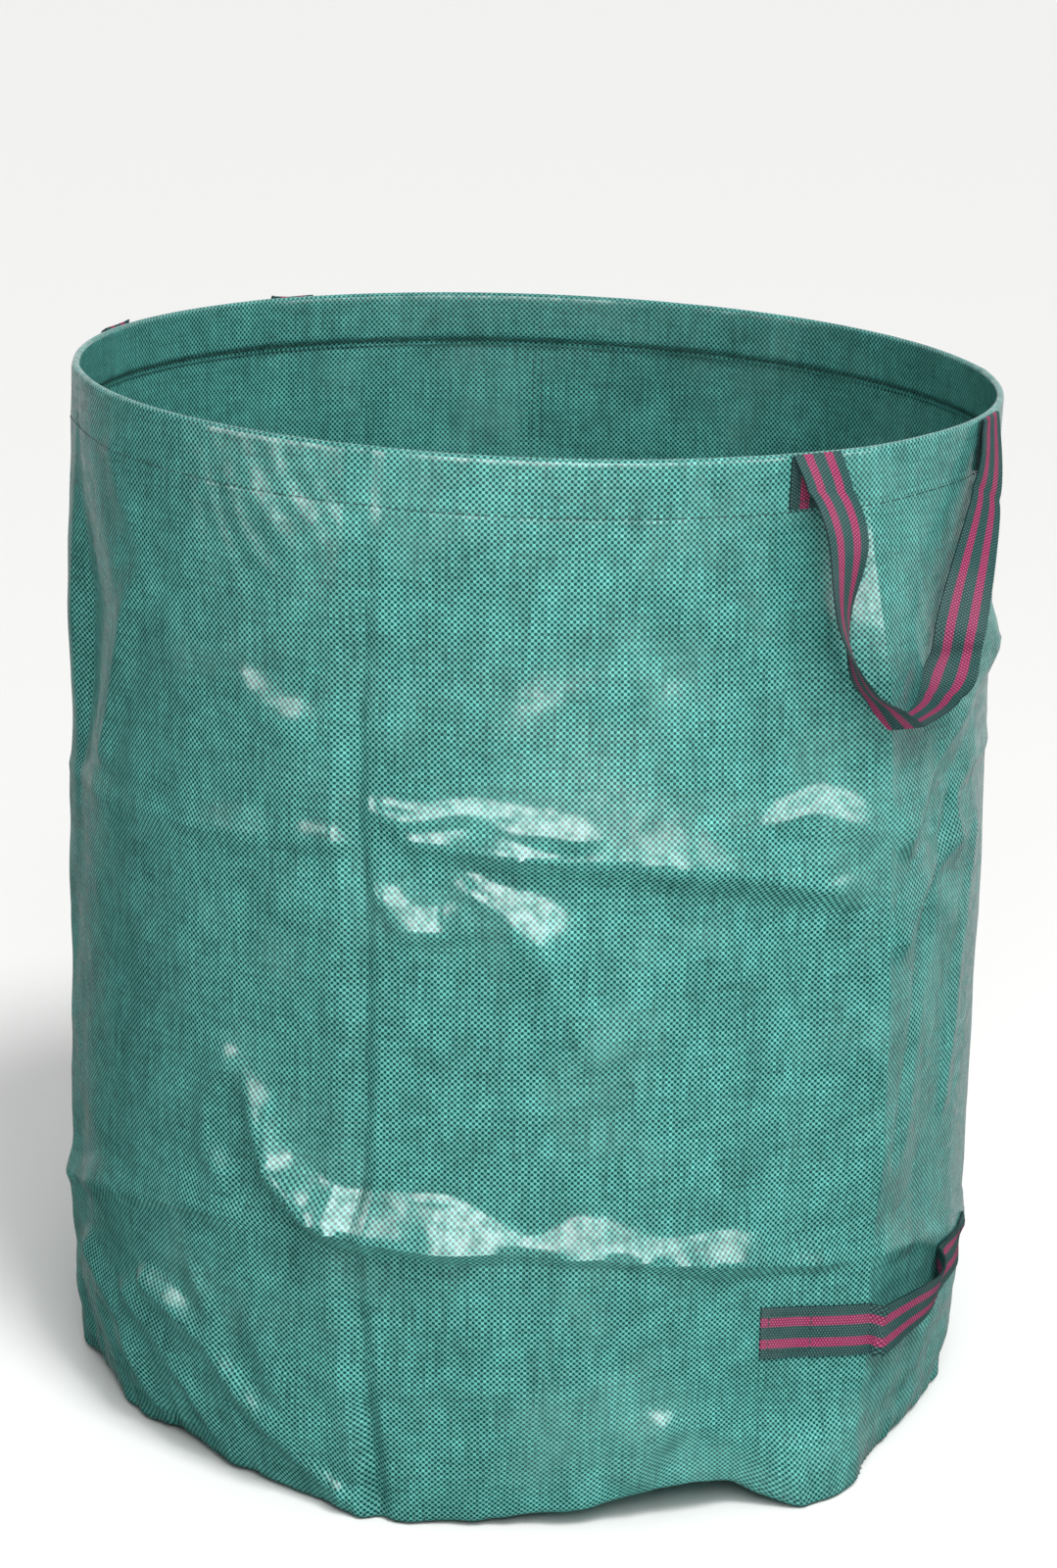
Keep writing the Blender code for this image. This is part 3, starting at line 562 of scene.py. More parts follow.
# %% Define how cloth is cut, closed and thickened
CLOTH = 0.0006
HAIR = 0.0001  # keeps two faces from lying in one plane
UP = Vector((0, 0, 1))


def choose(piece):
    bpy.ops.object.select_all(action="DESELECT")
    piece.select_set(True)
    bpy.context.view_layer.objects.active = piece


def cut_sheet(name, across, up, place):
    """A grid whose corner (across, up) goes to place(across, up), which gives points and UVs."""
    bpy.ops.object.select_all(action="DESELECT")
    bpy.ops.mesh.primitive_grid_add(x_subdivisions=len(across) - 1, y_subdivisions=len(up) - 1, size=1)
    piece = bpy.context.object
    piece.name = piece.data.name = name
    mesh = piece.data
    flat = np.empty(len(mesh.vertices) * 3)
    mesh.vertices.foreach_get("co", flat)
    flat = flat.reshape(-1, 3)
    column = np.rint((flat[:, 0] + 0.5) * (len(across) - 1)).astype(int)
    row = np.rint((flat[:, 1] + 0.5) * (len(up) - 1)).astype(int)
    points, cloth = place(np.asarray(across)[column], np.asarray(up)[row])
    mesh.vertices.foreach_set("co", np.ascontiguousarray(points).ravel())
    corners = np.empty(len(mesh.loops), int)
    mesh.loops.foreach_get("vertex_index", corners)
    mesh.uv_layers.active.data.foreach_set("uv", np.ascontiguousarray(cloth[corners]).ravel())
    mesh.update()
    return piece


def close_ring(piece):
    """Merge the corners that meet where the cloth closes."""
    choose(piece)
    bpy.ops.object.mode_set(mode="EDIT")
    bpy.ops.mesh.select_all(action="SELECT")
    bpy.ops.mesh.remove_doubles(threshold=0.00002)
    bpy.ops.object.mode_set(mode="OBJECT")


def thicken(piece, thickness, offset=-1.0, angle=50):
    """Solidify the sheet and shade it smooth, except at its cut edges."""
    choose(piece)
    shell = piece.modifiers.new("Thickness", "SOLIDIFY")
    shell.thickness = thickness
    shell.offset = offset
    bpy.ops.object.modifier_apply(modifier=shell.name)
    bpy.ops.object.shade_smooth_by_angle(angle=radians(angle))
    print(piece.name, len(piece.data.polygons), "faces")


def hand_over(piece, body, node):
    """Let a piece ride its body, in the place of a piece of the measured model."""
    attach(piece, body)
    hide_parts(node)


def finish_cloth(piece, body, node, thickness=CLOTH):
    close_ring(piece)
    thicken(piece, thickness)
    hand_over(piece, body, node)


def round_place(azimuth, radius, height):
    way = np.radians(azimuth)
    return np.stack([np.sin(way) * radius, -np.cos(way) * radius, height], axis=-1)


def cloth_uv(azimuth, height):
    return np.stack([np.radians(azimuth) * BAG_RADIUS, height], axis=-1)


# %% [markdown]
# ## The lower wall
# The rim can go down while the foot stays on the floor, so the wall is in two bands that meet at the lower
# fold. The lower band never moves. At the foot the cloth turns under in a small round and lies
# on the base, so its rows are close together there.

# %% Make the lower wall
TURN = 0.005  # radius of the turn at the foot
BOTTOM = 0.0013
UNDER_ROWS = (-0.014, -0.010, -0.006, -0.00285, -0.0015, 0.0, 0.0015, 0.003, 0.005, 0.0075)
lower_rows = np.concatenate([UNDER_ROWS, np.linspace(0.0105, 0.160, 44), np.linspace(0.1625, LOWER_FOLD, 16)])


def lower_place(station, path):
    """Place of the cloth a length of path up from where it would meet the floor."""
    azimuth = leaned(station, path)
    lift = foot_values(azimuth)[1] * below(path, LOWER_FOLD) ** 2
    turn = np.clip((TURN - path) / TURN, 0, pi / 2)
    under = np.clip(TURN - path - TURN * pi / 2, 0, 1)
    height = np.where(path < TURN, TURN * (1 - np.sin(turn)), path) + lift
    height = BOTTOM + height * (LOWER_FOLD - BOTTOM) / LOWER_FOLD
    radius = cloth_radius(azimuth, height) - TURN * (1 - np.cos(turn)) - under
    return round_place(azimuth, radius, height), cloth_uv(azimuth, path)


lower_wall = cut_sheet("lower_wall", STATIONS, lower_rows, lower_place)
finish_cloth(lower_wall, "base", "side_wall_lower")

# %% [markdown]
# ## The upper wall
# The upper band reaches a few millimetres up inside the hem. When the rim goes down the real
# cloth crumples, which a rigid body can't do; here the band only gets a mesh of its own.

# %% Make the upper wall
HEM_HEIGHT = 0.040
HEM_TUCK = 0.006
TUCK_RUN = 0.0045  # the height over which the cloth goes in behind the hem
LEAN_FROM, LEAN_RUN = 0.60, 0.12  # height from which the wall leans, and the run to its full lean
upper_rows = np.concatenate([
    np.linspace(0, 0.12, 15)[:-1], np.linspace(0.12, 0.42, 25)[:-1], np.linspace(0.42, 0.65, 34)[:-1],
    np.linspace(0.65, 0.96, 22), (0.972, 0.985, 0.988, 0.9925, 1.0),
])


def hem_edge(azimuth):
    """Height of the hem's lower edge."""
    return BAG_HEIGHT - HEM_HEIGHT * cos(radians(RIM_DIP)) - rim_drop(azimuth)


def lean_shift(azimuth, radius, height):
    """Points on the wall, whose middle moves over with the leaning rim near the top."""
    points = round_place(azimuth, radius, height)
    near = np.clip((height - LEAN_FROM) / LEAN_RUN, 0, 1)
    points += np.multiply.outer((height - BAG_HEIGHT) * sin(radians(RIM_DIP)) * near, outward(RIM_DIP_TOWARDS))
    return points


def upper_place(station, share):
    top = hem_edge(station) + HEM_TUCK
    height = LOWER_FOLD + (top - LOWER_FOLD) * share
    azimuth = leaned(station, height)
    height = LOWER_FOLD + (hem_edge(azimuth) + HEM_TUCK - LOWER_FOLD) * share
    behind = np.clip((height - hem_edge(azimuth)) / TUCK_RUN, 0, 1) * (CLOTH + HAIR)
    radius = cloth_radius(azimuth, height) - behind
    return lean_shift(azimuth, radius, height), cloth_uv(azimuth, height)


def flatten(piece):
    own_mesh(piece)


upper_wall = cut_sheet("upper_wall", STATIONS, upper_rows, upper_place)
finish_cloth(upper_wall, "base", "side_wall_upper")
flatten(upper_wall)

# %% [markdown]
# ## The rim hem
# The top of the wall is folded down inside over the hoop and sewn, which makes a smooth, firm band. Its section
# is a path: up the outside, over a small round at the top, down the inside, and in to the wall
# again below the hoop, where the stitches hold it.

# %% Make the hem
HEM_DEPTH = 0.0057  # from the outer face to the inner one
HEM_TOP = HEM_DEPTH / 2
HEM_INSIDE = 0.034  # how far the inner side comes down before it goes in to the wall
outer_path = [(0.0, -HEM_HEIGHT + (HEM_HEIGHT - HEM_TOP) * step / 11) for step in range(12)]
turns = np.radians(range(20, 161, 20))
top_path = [(HEM_TOP * (1 - cos(turn)), HEM_TOP * (sin(turn) - 1)) for turn in turns]
inner_path = [(HEM_DEPTH, -HEM_TOP - (HEM_INSIDE - HEM_TOP) * step / 7) for step in range(8)]
seam_path = [(0.0052, -0.0360), (0.0031, -0.0380), (0.0022, -0.0395), (0.0022, -0.0425)]
hem_path = np.array(outer_path + top_path + inner_path + seam_path)
hem_run = np.concatenate([[0], np.cumsum(np.hypot(*np.diff(hem_path, axis=0).T))])


def rim_points(azimuth, radius, height):
    """Points given by radius and height from the rim's own circle, leaned with the rim."""
    points = round_place(azimuth, radius, height)
    return points @ np.array(RIM_FRAME.to_3x3()).T + np.array(RIM_FRAME.translation)


def hem_place(station, row):
    depth, height = hem_path[row].T
    level = hem_edge(station) + HEM_HEIGHT + height
    azimuth = leaned(station, level)
    shift = cloth_radius(azimuth, np.minimum(level, BAG_HEIGHT)) - BAG_RADIUS
    firm = 1 - 0.5 * np.clip(depth / HEM_DEPTH, 0, 1)  # the inner side is pulled straighter
    points = rim_points(azimuth, BAG_RADIUS - depth + shift * firm, height)
    return points, cloth_uv(azimuth, hem_edge(azimuth) + hem_run[row])


rim_hem = cut_sheet("rim_hem_cloth", STATIONS, np.arange(len(hem_path)), hem_place)
finish_cloth(rim_hem, "rim", "rim_hem")

# %% [markdown]
# ## The base
# The base is a round of the same cloth under the turned-in wall. It lifts with the arch at the
# front right, and its edge is slightly rippled where the seam draws it in.

# %% Make the base
BASE_CLOTH = 0.0008
BASE_HEIGHT = 0.001
BASE_INSET = 0.007  # from the foot's outline to the edge of the base
BASE_RIPPLES = (0.0022, 0.045, 0.5, 8.8)  # rise, size, stretch and seed again
BASE_BULGES = (0.012, 0.160, 1.0, 2.2)
base_rows = np.concatenate([np.linspace(0, 0.7, 15), np.linspace(0.74, 1, 12)])


def base_place(station, share):
    foot, lift = foot_values(station)
    radius = share * (foot - BASE_INSET)
    edge = np.clip((share - 0.45) / 0.55, 0, 1) ** 2
    ripple = np.abs(bumps(station, radius, *BASE_RIPPLES)) * np.clip(share * 3 - 2, 0, 1) * (share < 0.97)
    bulge = np.clip(bumps(station, radius, *BASE_BULGES), 0, None) * share * (1 - share)
    points = round_place(station, radius, BASE_HEIGHT + lift * edge + ripple + bulge)
    return points, points[:, :2].copy()


bag_base = cut_sheet("bag_base", STATIONS[::2], base_rows, base_place)
finish_cloth(bag_base, "base", "base_panel", BASE_CLOTH)

# %% [markdown]
# ## One stitch, used many times
# A stitch is a short run of thread that dips into the cloth at both ends. It is modelled once: a cube is
# cut into lengths, rounded, narrowed and bent down at its ends. A seam is then a row of copies of it, each turned
# to the cloth under it, in one mesh.

# %% Model one stitch
STITCH_LENGTH = 0.0042
THREAD = 0.0008
STITCH_DIP = 0.00045  # of its ends, into the cloth
STITCH_TAPER = 0.45

bpy.ops.object.select_all(action="DESELECT")
bpy.ops.mesh.primitive_cube_add(size=1)
stitch = bpy.context.object
stitch.name = "stitch"
bpy.ops.object.mode_set(mode="EDIT")
bpy.ops.mesh.select_all(action="SELECT")
bpy.ops.transform.resize(value=(STITCH_LENGTH, THREAD, THREAD))
bpy.ops.mesh.select_all(action="DESELECT")
bpy.ops.object.mode_set(mode="OBJECT")
for edge in stitch.data.edges:
    a, b = (stitch.data.vertices[index].co for index in edge.vertices)
    edge.select = abs(a.x - b.x) > STITCH_LENGTH / 2
bpy.ops.object.mode_set(mode="EDIT")
bpy.ops.mesh.subdivide(number_cuts=3)
bpy.ops.mesh.select_all(action="DESELECT")
bpy.ops.object.mode_set(mode="OBJECT")
for corner in stitch.data.vertices:
    share = abs(corner.co.x) / (STITCH_LENGTH / 2)
    narrowed = 1 - STITCH_TAPER * share**3
    corner.co.y *= narrowed
    corner.co.z = corner.co.z * narrowed - STITCH_DIP * share**2
    corner.co.y *= 1.15 if corner.co.z < 0 else 0.75  # wide below and narrow on top
stitch_points = np.array([corner.co for corner in stitch.data.vertices])
stitch_faces = [tuple(face.vertices) for face in stitch.data.polygons]
bpy.data.objects.remove(stitch)


def stitch_row(name, places, body, node):
    """One mesh of stitches. Each place is its middle, its direction and the way the cloth faces."""
    points, faces = [], []
    for middle, run, face in places:
        run = (run - face * run.dot(face)).normalized()
        turned = np.array((run, face.cross(run), face))
        faces += [tuple(index + len(points) * len(stitch_points) for index in one) for one in stitch_faces]
        points.append(stitch_points @ turned + np.array(middle))
    mesh = bpy.data.meshes.new(name)
    mesh.from_pydata(np.concatenate(points), [], faces)
    mesh.shade_smooth()
    row = bpy.data.objects.new(name, mesh)
    bpy.context.scene.collection.objects.link(row)
    hand_over(row, body, node)
    print(name, len(points), "stitches")
    return row


# %% [markdown]
# ## Seams
# The hem's stitches run round the bag 38 mm below the rim, and show outside and inside. A second row joins the base
# to the wall, and two more run up the back, where the two edges of the wall meet.

# %% Sew the hem and the base
STITCH_DROP = 0.0385
HEM_STITCHES = 360
INNER_DEPTH = 0.0036  # of the hem's inner stitches
BASE_STITCHES = 300
BASE_SEAM_HEIGHT = 0.0062


def round_the_bag(count):
    return [-180 + 360 * (index + 0.5) / count for index in range(count)]


def from_axis(azimuth, radius, height):
    return outward(azimuth) * radius + UP * height


def hem_stitches():
    for azimuth in round_the_bag(HEM_STITCHES):
        level = hem_edge(azimuth) + HEM_HEIGHT - STITCH_DROP
        shift = float(cloth_radius(azimuth, level)) - BAG_RADIUS
        for radius, way in ((BAG_RADIUS + shift + HAIR, 1), (BAG_RADIUS + shift / 2 - INNER_DEPTH, -1)):
            yield Vector(rim_points(azimuth, radius, -STITCH_DROP)), along(azimuth), outward(azimuth) * way


def base_stitches():
    for azimuth in round_the_bag(BASE_STITCHES):
        height = BASE_SEAM_HEIGHT + float(foot_values(azimuth)[1])
        radius = float(cloth_radius(azimuth, height)) - CLOTH - HAIR
        yield from_axis(azimuth, radius, height), along(azimuth), -outward(azimuth)


stitch_row("hem_stitches", hem_stitches(), "rim", "hem_stitching")
stitch_row("base_stitches", base_stitches(), "base", "base_stitching")

# %% Sew the upright seam
SEAM_AZIMUTH = 180.0
SEAM_PITCH = 0.0056
SEAM_FROM, SEAM_TO = 0.012, 0.716
BAND_GAP = 0.001  # from the last stitch of a band to the split
SEAM_HALF = 0.0035  # from the middle of the seam to each row


def seam_stitches(bottom, top):
    for index in range(int((top - bottom) / SEAM_PITCH)):
        height = bottom + (index + 0.5) * SEAM_PITCH
        for row in (-1, 1):
            azimuth = SEAM_AZIMUTH + row * degrees(SEAM_HALF / BAG_RADIUS)
            radius = float(cloth_radius(azimuth, height)) + HAIR
            yield from_axis(azimuth, radius, height), UP, outward(azimuth)


lower_seam = seam_stitches(SEAM_FROM, LOWER_FOLD - BAND_GAP)
stitch_row("lower_seam_stitches", lower_seam, "base", "seam_stitching_lower")
upper_seam = seam_stitches(LOWER_FOLD + BAND_GAP, SEAM_TO)
flatten(stitch_row("upper_seam_stitches", upper_seam, "base", "seam_stitching_upper"))

# %% [markdown]
# ## Webbing
# A strap follows a route: a line of middles, and at each the direction across the webbing. Hanging webbing
# turns as it goes round, so each place on the route also has a turn. The route is a smooth
# curve through a few places, resampled every 2 mm or less. The strap is then cut like the cloth, with UVs
# across and along it in metres, and made 1.5 mm thick.

# %% Define routes and straps
WEBBING_WIDTH = 0.038
WEBBING_THICKNESS = 0.0015
LAYER_GAP = 0.0003  # between two layers that are sewn together
TAIL_OUT = LAYER_GAP + WEBBING_THICKNESS / 2
LOOP_OUT = TAIL_OUT + WEBBING_THICKNESS + LAYER_GAP
SHARES_ACROSS = np.linspace(-0.5, 0.5, 11)
SELVEDGE = 0.0004  # round of its edges
BEND_RUN = 0.006  # how quickly a crease across it dies away
CUP = 0.0006  # how far the middle of free webbing stands out from its edges
CUP_RUN = 0.03


def smooth_route(points, steps=24):
    """Values on a curve through the points."""
    rows = np.array([2 * np.array(points[0]) - points[1], *points, 2 * np.array(points[-1]) - points[-2]])
    fours = zip(rows, rows[1:], rows[2:], rows[3:])
    return np.array([between(*four, share) for four in fours for share in np.arange(steps) / steps] + [rows[-2]])


def even_steps(middles, sides, step=0.002):
    """The same route with its places at even distances."""
    run = np.concatenate([[0], np.cumsum(np.linalg.norm(np.diff(middles, axis=0), axis=1))])
    wanted = np.linspace(0, run[-1], int(run[-1] / step) + 1)
    even = [np.stack([np.interp(wanted, run, axis) for axis in values.T], axis=-1) for values in (middles, sides)]
    return *even, wanted


def thicken_webbing(piece):
    thicken(piece, WEBBING_THICKNESS, offset=0, angle=60)


def strap(handle, middles, sides, run, bends=(), cup=CUP, square=True):
    """Webbing along a route. bends are (place along it, height) of creases across it."""
    ways = np.gradient(middles, axis=0)
    ways /= np.linalg.norm(ways, axis=1)[:, None]
    if square:
        inner = slice(1, -1)
        sides = sides.copy()
        sides[inner] -= ways[inner] * np.sum(sides[inner] * ways[inner], axis=1)[:, None]
    sides = sides / np.linalg.norm(sides, axis=1)[:, None]
    faces = np.cross(sides, ways)
    lift = sum(height * np.exp(-np.abs(run - at) / BEND_RUN) for at, height in bends) + np.zeros(len(run))

    def place(share, row):
        arch = cup * (1 - (2 * share) ** 2) * np.clip(np.minimum(run[row], run[-1] - run[row]) / CUP_RUN, 0, 1)
        points = middles[row] + sides[row] * (share * WEBBING_WIDTH)[:, None]
        points += faces[row] * (arch + lift[row])[:, None]
        return points, np.stack([share * WEBBING_WIDTH, run[row]], axis=-1)

    piece = cut_sheet(handle + "_webbing", SHARES_ACROSS, np.arange(len(run)), place)
    thicken_webbing(piece)
    edge = piece.modifiers.new("Selvedge", "BEVEL")
    edge.width = SELVEDGE
    edge.segments = 2
    edge.limit_method = "ANGLE"
    edge.angle_limit = radians(60)
    bpy.ops.object.modifier_apply(modifier=edge.name)
    bpy.ops.object.shade_smooth_by_angle(angle=radians(60))
    hand_over(piece, handle, handle + "_loop")
    print(piece.name, round(float(run[-1]), 3), "m of webbing")


class Span:
    """The line between a loop's two ends, with the directions along, out and up from it."""

    def __init__(self, first, last):
        self.middle = (first + last) / 2
        self.half = (last - first).length / 2
        self.along = (last - first).normalized()
        self.out = self.along.cross(UP).normalized()
        self.up = self.out.cross(self.along)

    def place(self, share, out, rise):
        return self.middle + self.along * share * self.half + self.out * out + self.up * rise


# %% [markdown]
# ## The carrying handles
# Each one folds over at the rim, hangs, twists, turns at the bottom and comes up again. The first places lie
# on the small fold itself, between the sewn end and the free webbing.

# %% Make the free webbing of the carrying handles
RIGHT_ENDS = (32.6, 68.0)
LEFT_ENDS = (-144.4, -109.4)
HANDLE_DROP = 0.186
HANDLE_STAND_OFF = 0.040
FOLD_RISE = -0.0014
# out and up from the fold at the rim
OVER_THE_FOLD = ((-0.0018, -0.0008), (-0.0015, 0.0006), (-0.0009, 0.0012), (-0.0003, 0.0008))

# places along the webbing, and heights, of creases across it
RIGHT_BENDS = ((0.030, 0.0024), (0.272, -0.0020), (0.428, 0.0018))
LEFT_BENDS = ((0.030, 0.0018),)

# share of half the span, drop and stand-off as shares of the greatest, turn and tip in degrees
RIGHT_LOOP = (
    (-1, 0, 0, -18, 0), (-1.09, 0.25, 0.81, -10, -9), (-1.07, 0.56, 0.82, 25, 10), (-0.88, 0.79, 0.86, 65, 14),
    (-0.65, 0.91, 0.92, 85, 0), (-0.49, 1, 0.97, 97, -13), (-0.07, 0.94, 1, 84, -7), (0.19, 0.82, 0.85, 143, 4),
    (0.21, 0.74, 0.89, 149, 4), (0.29, 0.64, 0.84, 149, 15), (0.79, 0.23, 0.38, 183, 25), (1, 0, 0, 198, 0),
)
RIGHT_CORNER = 5  # the row where the webbing is folded sharply at the bottom
LEFT_LOOP = (
    (-1, 0, 0, -17.5, 0), (-0.94, 0.19, 0.3, -8, 0), (-0.84, 0.47, 0.58, 20, 0), (-0.56, 0.81, 0.82, 60, 0),
    (-0.05, 1, 0.95, 90, 0), (0.46, 0.86, 0.9, 118, 0), (0.82, 0.56, 0.72, 155, 0), (0.95, 0.31, 0.7, 178, 0),
    (0.98, 0.14, 0.6, 188, 0), (1, 0, 0, 197.5, 0),
)


def fold_point(azimuth, out=0.0, rise=0.0):
    """A place out and up from where the free webbing starts at the rim."""
    return RIM_FRAME @ from_axis(azimuth, BAG_RADIUS + LOOP_OUT, FOLD_RISE) + from_axis(azimuth, out, rise)


def carrying_loop(handle, ends, table, corner, bends):
    """The free webbing between two azimuths."""
    span = Span(*map(fold_point, ends))
    if corner:
        route = np.concatenate([smooth_route(table[: corner + 1])[:-1], smooth_route(table[corner:])])
    else:
        route = smooth_route(table)
    middles, sides = [], []
    for share, drop, stand, turn, tip in route:
        turn, tip = radians(turn), radians(tip)
        middles.append(span.place(share, stand * HANDLE_STAND_OFF, -drop * HANDLE_DROP))
        sides.append((span.along * cos(turn) - span.out * sin(turn)) * cos(tip) + span.up * sin(tip))
    first, last = ([fold_point(azimuth, *over) for over in OVER_THE_FOLD] for azimuth in ends)
    middles = np.array(first + middles + last[::-1])
    sides = np.array([sides[0]] * len(first) + sides + [sides[-1]] * len(last))
    strap(handle, *even_steps(middles, sides, 0.0018), bends=bends, square=not corner)


carrying_loop("right_handle", RIGHT_ENDS, RIGHT_LOOP, RIGHT_CORNER, RIGHT_BENDS)
carrying_loop("left_handle", LEFT_ENDS, LEFT_LOOP, None, LEFT_BENDS)

# %% [markdown]
# ## Sewn ends
# The end of each handle lies flat against the hem and is held by a box of stitches. It is cut like the other
# straps, but its places are taken from the dressed hem, so it lies on the hem's creases and not through them.

# %% Sew the carrying handles to the hem
TACK_INSET = 0.005
TACK_PITCH = 0.005
TACK_HALF = WEBBING_WIDTH / 2 - TACK_INSET
TAIL_TOP = FOLD_RISE - 0.0008
TAIL_BOTTOM = -0.0364


def on_hem(azimuth, height, out):
    """A point out from the dressed hem, at a height from the rim's own circle."""
    level = hem_edge(azimuth) + HEM_HEIGHT + height
    radius = cloth_radius(azimuth, np.minimum(level, BAG_HEIGHT)) + out
    return rim_points(azimuth, radius, height)


def sew_end(name, body, tail, box, on_cloth):
    """Sew a flat end down with a box of stitches, given as (round the bag, up) for two opposite corners."""
    thicken_webbing(tail)
    tail.data.validate()
    hand_over(tail, body, name + "_end")
    (left, low), (right, high) = box
    corners = ((left, low), (right, low), (right, high), (left, high))
    places = []
    for (x, y), (u, v) in zip(corners, corners[1:] + corners[:1]):
        count = round(sqrt((u - x) ** 2 + (v - y) ** 2) / TACK_PITCH)
        for share in (np.arange(count) + 0.5) / count:
            azimuth = degrees((x + (u - x) * share) / BAG_RADIUS)
            middle = on_cloth(azimuth, y + (v - y) * share, TAIL_OUT + WEBBING_THICKNESS / 2 + HAIR)
            places.append((Vector(middle), along(azimuth) if y == v else UP, outward(azimuth)))
    stitch_row(name + "_stitches", places, body, name + "_stitching")


def carrying_end(name, azimuth):
    def lay(share, height):
        points = on_hem(azimuth + np.degrees(share * WEBBING_WIDTH / BAG_RADIUS), height, TAIL_OUT)
        return points, np.stack([share * WEBBING_WIDTH, height], axis=-1)

    tail = cut_sheet(name + "_tail", SHARES_ACROSS, np.linspace(TAIL_BOTTOM, TAIL_TOP, 16), lay)
    middle = radians(azimuth) * BAG_RADIUS
    box = ((middle - TACK_HALF, TAIL_BOTTOM + TACK_INSET), (middle + TACK_HALF, TAIL_TOP - TACK_INSET))
    sew_end(name, "rim", tail, box, on_hem)


carrying_end("right_handle_front", RIGHT_ENDS[0])
carrying_end("right_handle_rear", RIGHT_ENDS[1])
carrying_end("left_handle_front", LEFT_ENDS[1])
carrying_end("left_handle_rear", LEFT_ENDS[0])

# %% [markdown]
# ## The tipping handle
# Low on the wall a third strap helps to tip the bag out. Its front end is sewn over the right crease, a little
# higher than its rear end, and between them it stands off the wall far enough for a hand.

# %% Make the tipping handle
TIPPING_SEWN = ((29.6, 44.6), (65.4, 77.0))
TIPPING_TACKS = ((30.6, 36.5), (66.6, 74.0))
TIPPING_FREE = (44.65, 65.35)
TIPPING_HEIGHT = 0.122
TIPPING_FRONT_RISE = 0.014
TIPPING_ARCH = 0.005
TIPPING_STAND_OFF = 0.015
# share of half the span, rise and stand-off as shares of the greatest, outward tilt of the top edge in degrees
TIPPING_LOOP = (
    (-1, 0, 0, 0), (-0.985, -0.1, 0.34, 0), (-0.95, -0.35, 0.56, 0), (-0.8, -0.1, 0.6, 3), (-0.45, 0.6, 0.78, 12),
    (0, 1, 1, 18), (0.45, 0.8, 0.66, 14), (0.72, 0.42, 0.26, 7), (0.88, 0.06, 0.06, 0), (1, 0, 0, 0),
)


def on_strap_line(azimuth, up, out):
    """A point out from the dressed wall, at a height from the middle line of the handle."""
    first, last = TIPPING_SEWN[0]
    height = TIPPING_HEIGHT + TIPPING_FRONT_RISE * np.clip((last - azimuth) / (last - first), 0, None) + up
    return round_place(azimuth, cloth_radius(azimuth, height) + out, height)


def tipping_end(name, sewn, tack):
    def lay(azimuth, share):
        up = share * WEBBING_WIDTH
        return on_strap_line(azimuth, up, TAIL_OUT), np.stack([up, np.radians(azimuth) * BAG_RADIUS], axis=-1)

    tail = cut_sheet(name + "_tail", np.linspace(*sewn, 40), SHARES_ACROSS, lay)
    first, last = (radians(azimuth) * BAG_RADIUS for azimuth in tack)
    sew_end(name, "base", tail, ((first, -TACK_HALF), (last, TACK_HALF)), on_strap_line)


for end, sewn, tack in zip(("front", "rear"), TIPPING_SEWN, TIPPING_TACKS):
    tipping_end("tipping_handle_" + end, sewn, tack)

ends, tops = (
    [Vector(on_strap_line(azimuth, up, TAIL_OUT)) for azimuth in TIPPING_FREE] for up in (0, WEBBING_WIDTH / 2)
)
span = Span(*ends)
lean = atan2(((tops[0] + tops[1]) / 2 - span.middle).dot(span.out), WEBBING_WIDTH / 2)
middles, sides = [], []
for share, arch, stand, tilt in smooth_route(TIPPING_LOOP):
    bulge = sqrt(BAG_RADIUS**2 - (share * span.half) ** 2) - sqrt(BAG_RADIUS**2 - span.half**2)
    middles.append(span.place(share, stand * TIPPING_STAND_OFF + bulge, arch * TIPPING_ARCH))
    sides.append(span.up * cos(radians(tilt) + lean) + span.out * sin(radians(tilt) + lean))
strap("tipping_handle", *even_steps(np.array(middles), np.array(sides)), cup=0.0)

# %% [markdown]
# ## Materials
# The cloth is woven from flat plastic tapes, dark ones one way and mint ones the other, and covered with a clear
# film. Each place shows whichever tape is on top, which gives a small checked pattern. Two sine waves
# multiplied together have just that sign, so one short chain of nodes makes the checks, their rounded
# edges and their relief. It is a node group of its own, apart from colour and film.

# %% Define colours, relief and node groups
def blend_colours(tree, share, first, second):
    return add(tree, "ShaderNodeMix", {0: share, 6: first, 7: second}, data_type="RGBA").outputs[2]


def uneven(tree, place, scale, detail, roughness):
    """Noise between 0 and 1."""
    values = {"Vector": place, "Scale": scale, "Detail": detail, "Roughness": roughness}
    return add(tree, "ShaderNodeTexNoise", values).outputs[0]


def bump(tree, height, strength, distance=1.0):
    values = {"Height": height, "Strength": strength, "Distance": distance}
    return add(tree, "ShaderNodeBump", values).outputs[0]


def new_group(name, vector, values, results):
    """A group that is given a vector and some values, with its inputs and the node that takes its results."""
    group = bpy.data.node_groups.new(name, "ShaderNodeTree")
    group.interface.new_socket(vector, in_out="INPUT", socket_type="NodeSocketVector")
    for title, value in values.items():
        group.interface.new_socket(title, in_out="INPUT", socket_type="NodeSocketFloat").default_value = value
    for title in results:
        group.interface.new_socket(title, in_out="OUTPUT", socket_type="NodeSocketFloat")
    return group, add(group, "NodeGroupInput").outputs, add(group, "NodeGroupOutput")


# %% Weave tapes into a node group
TAPE_WIDTH = 0.0021
TAPE_STEP = 1.37  # between the noise of one tape and of the next

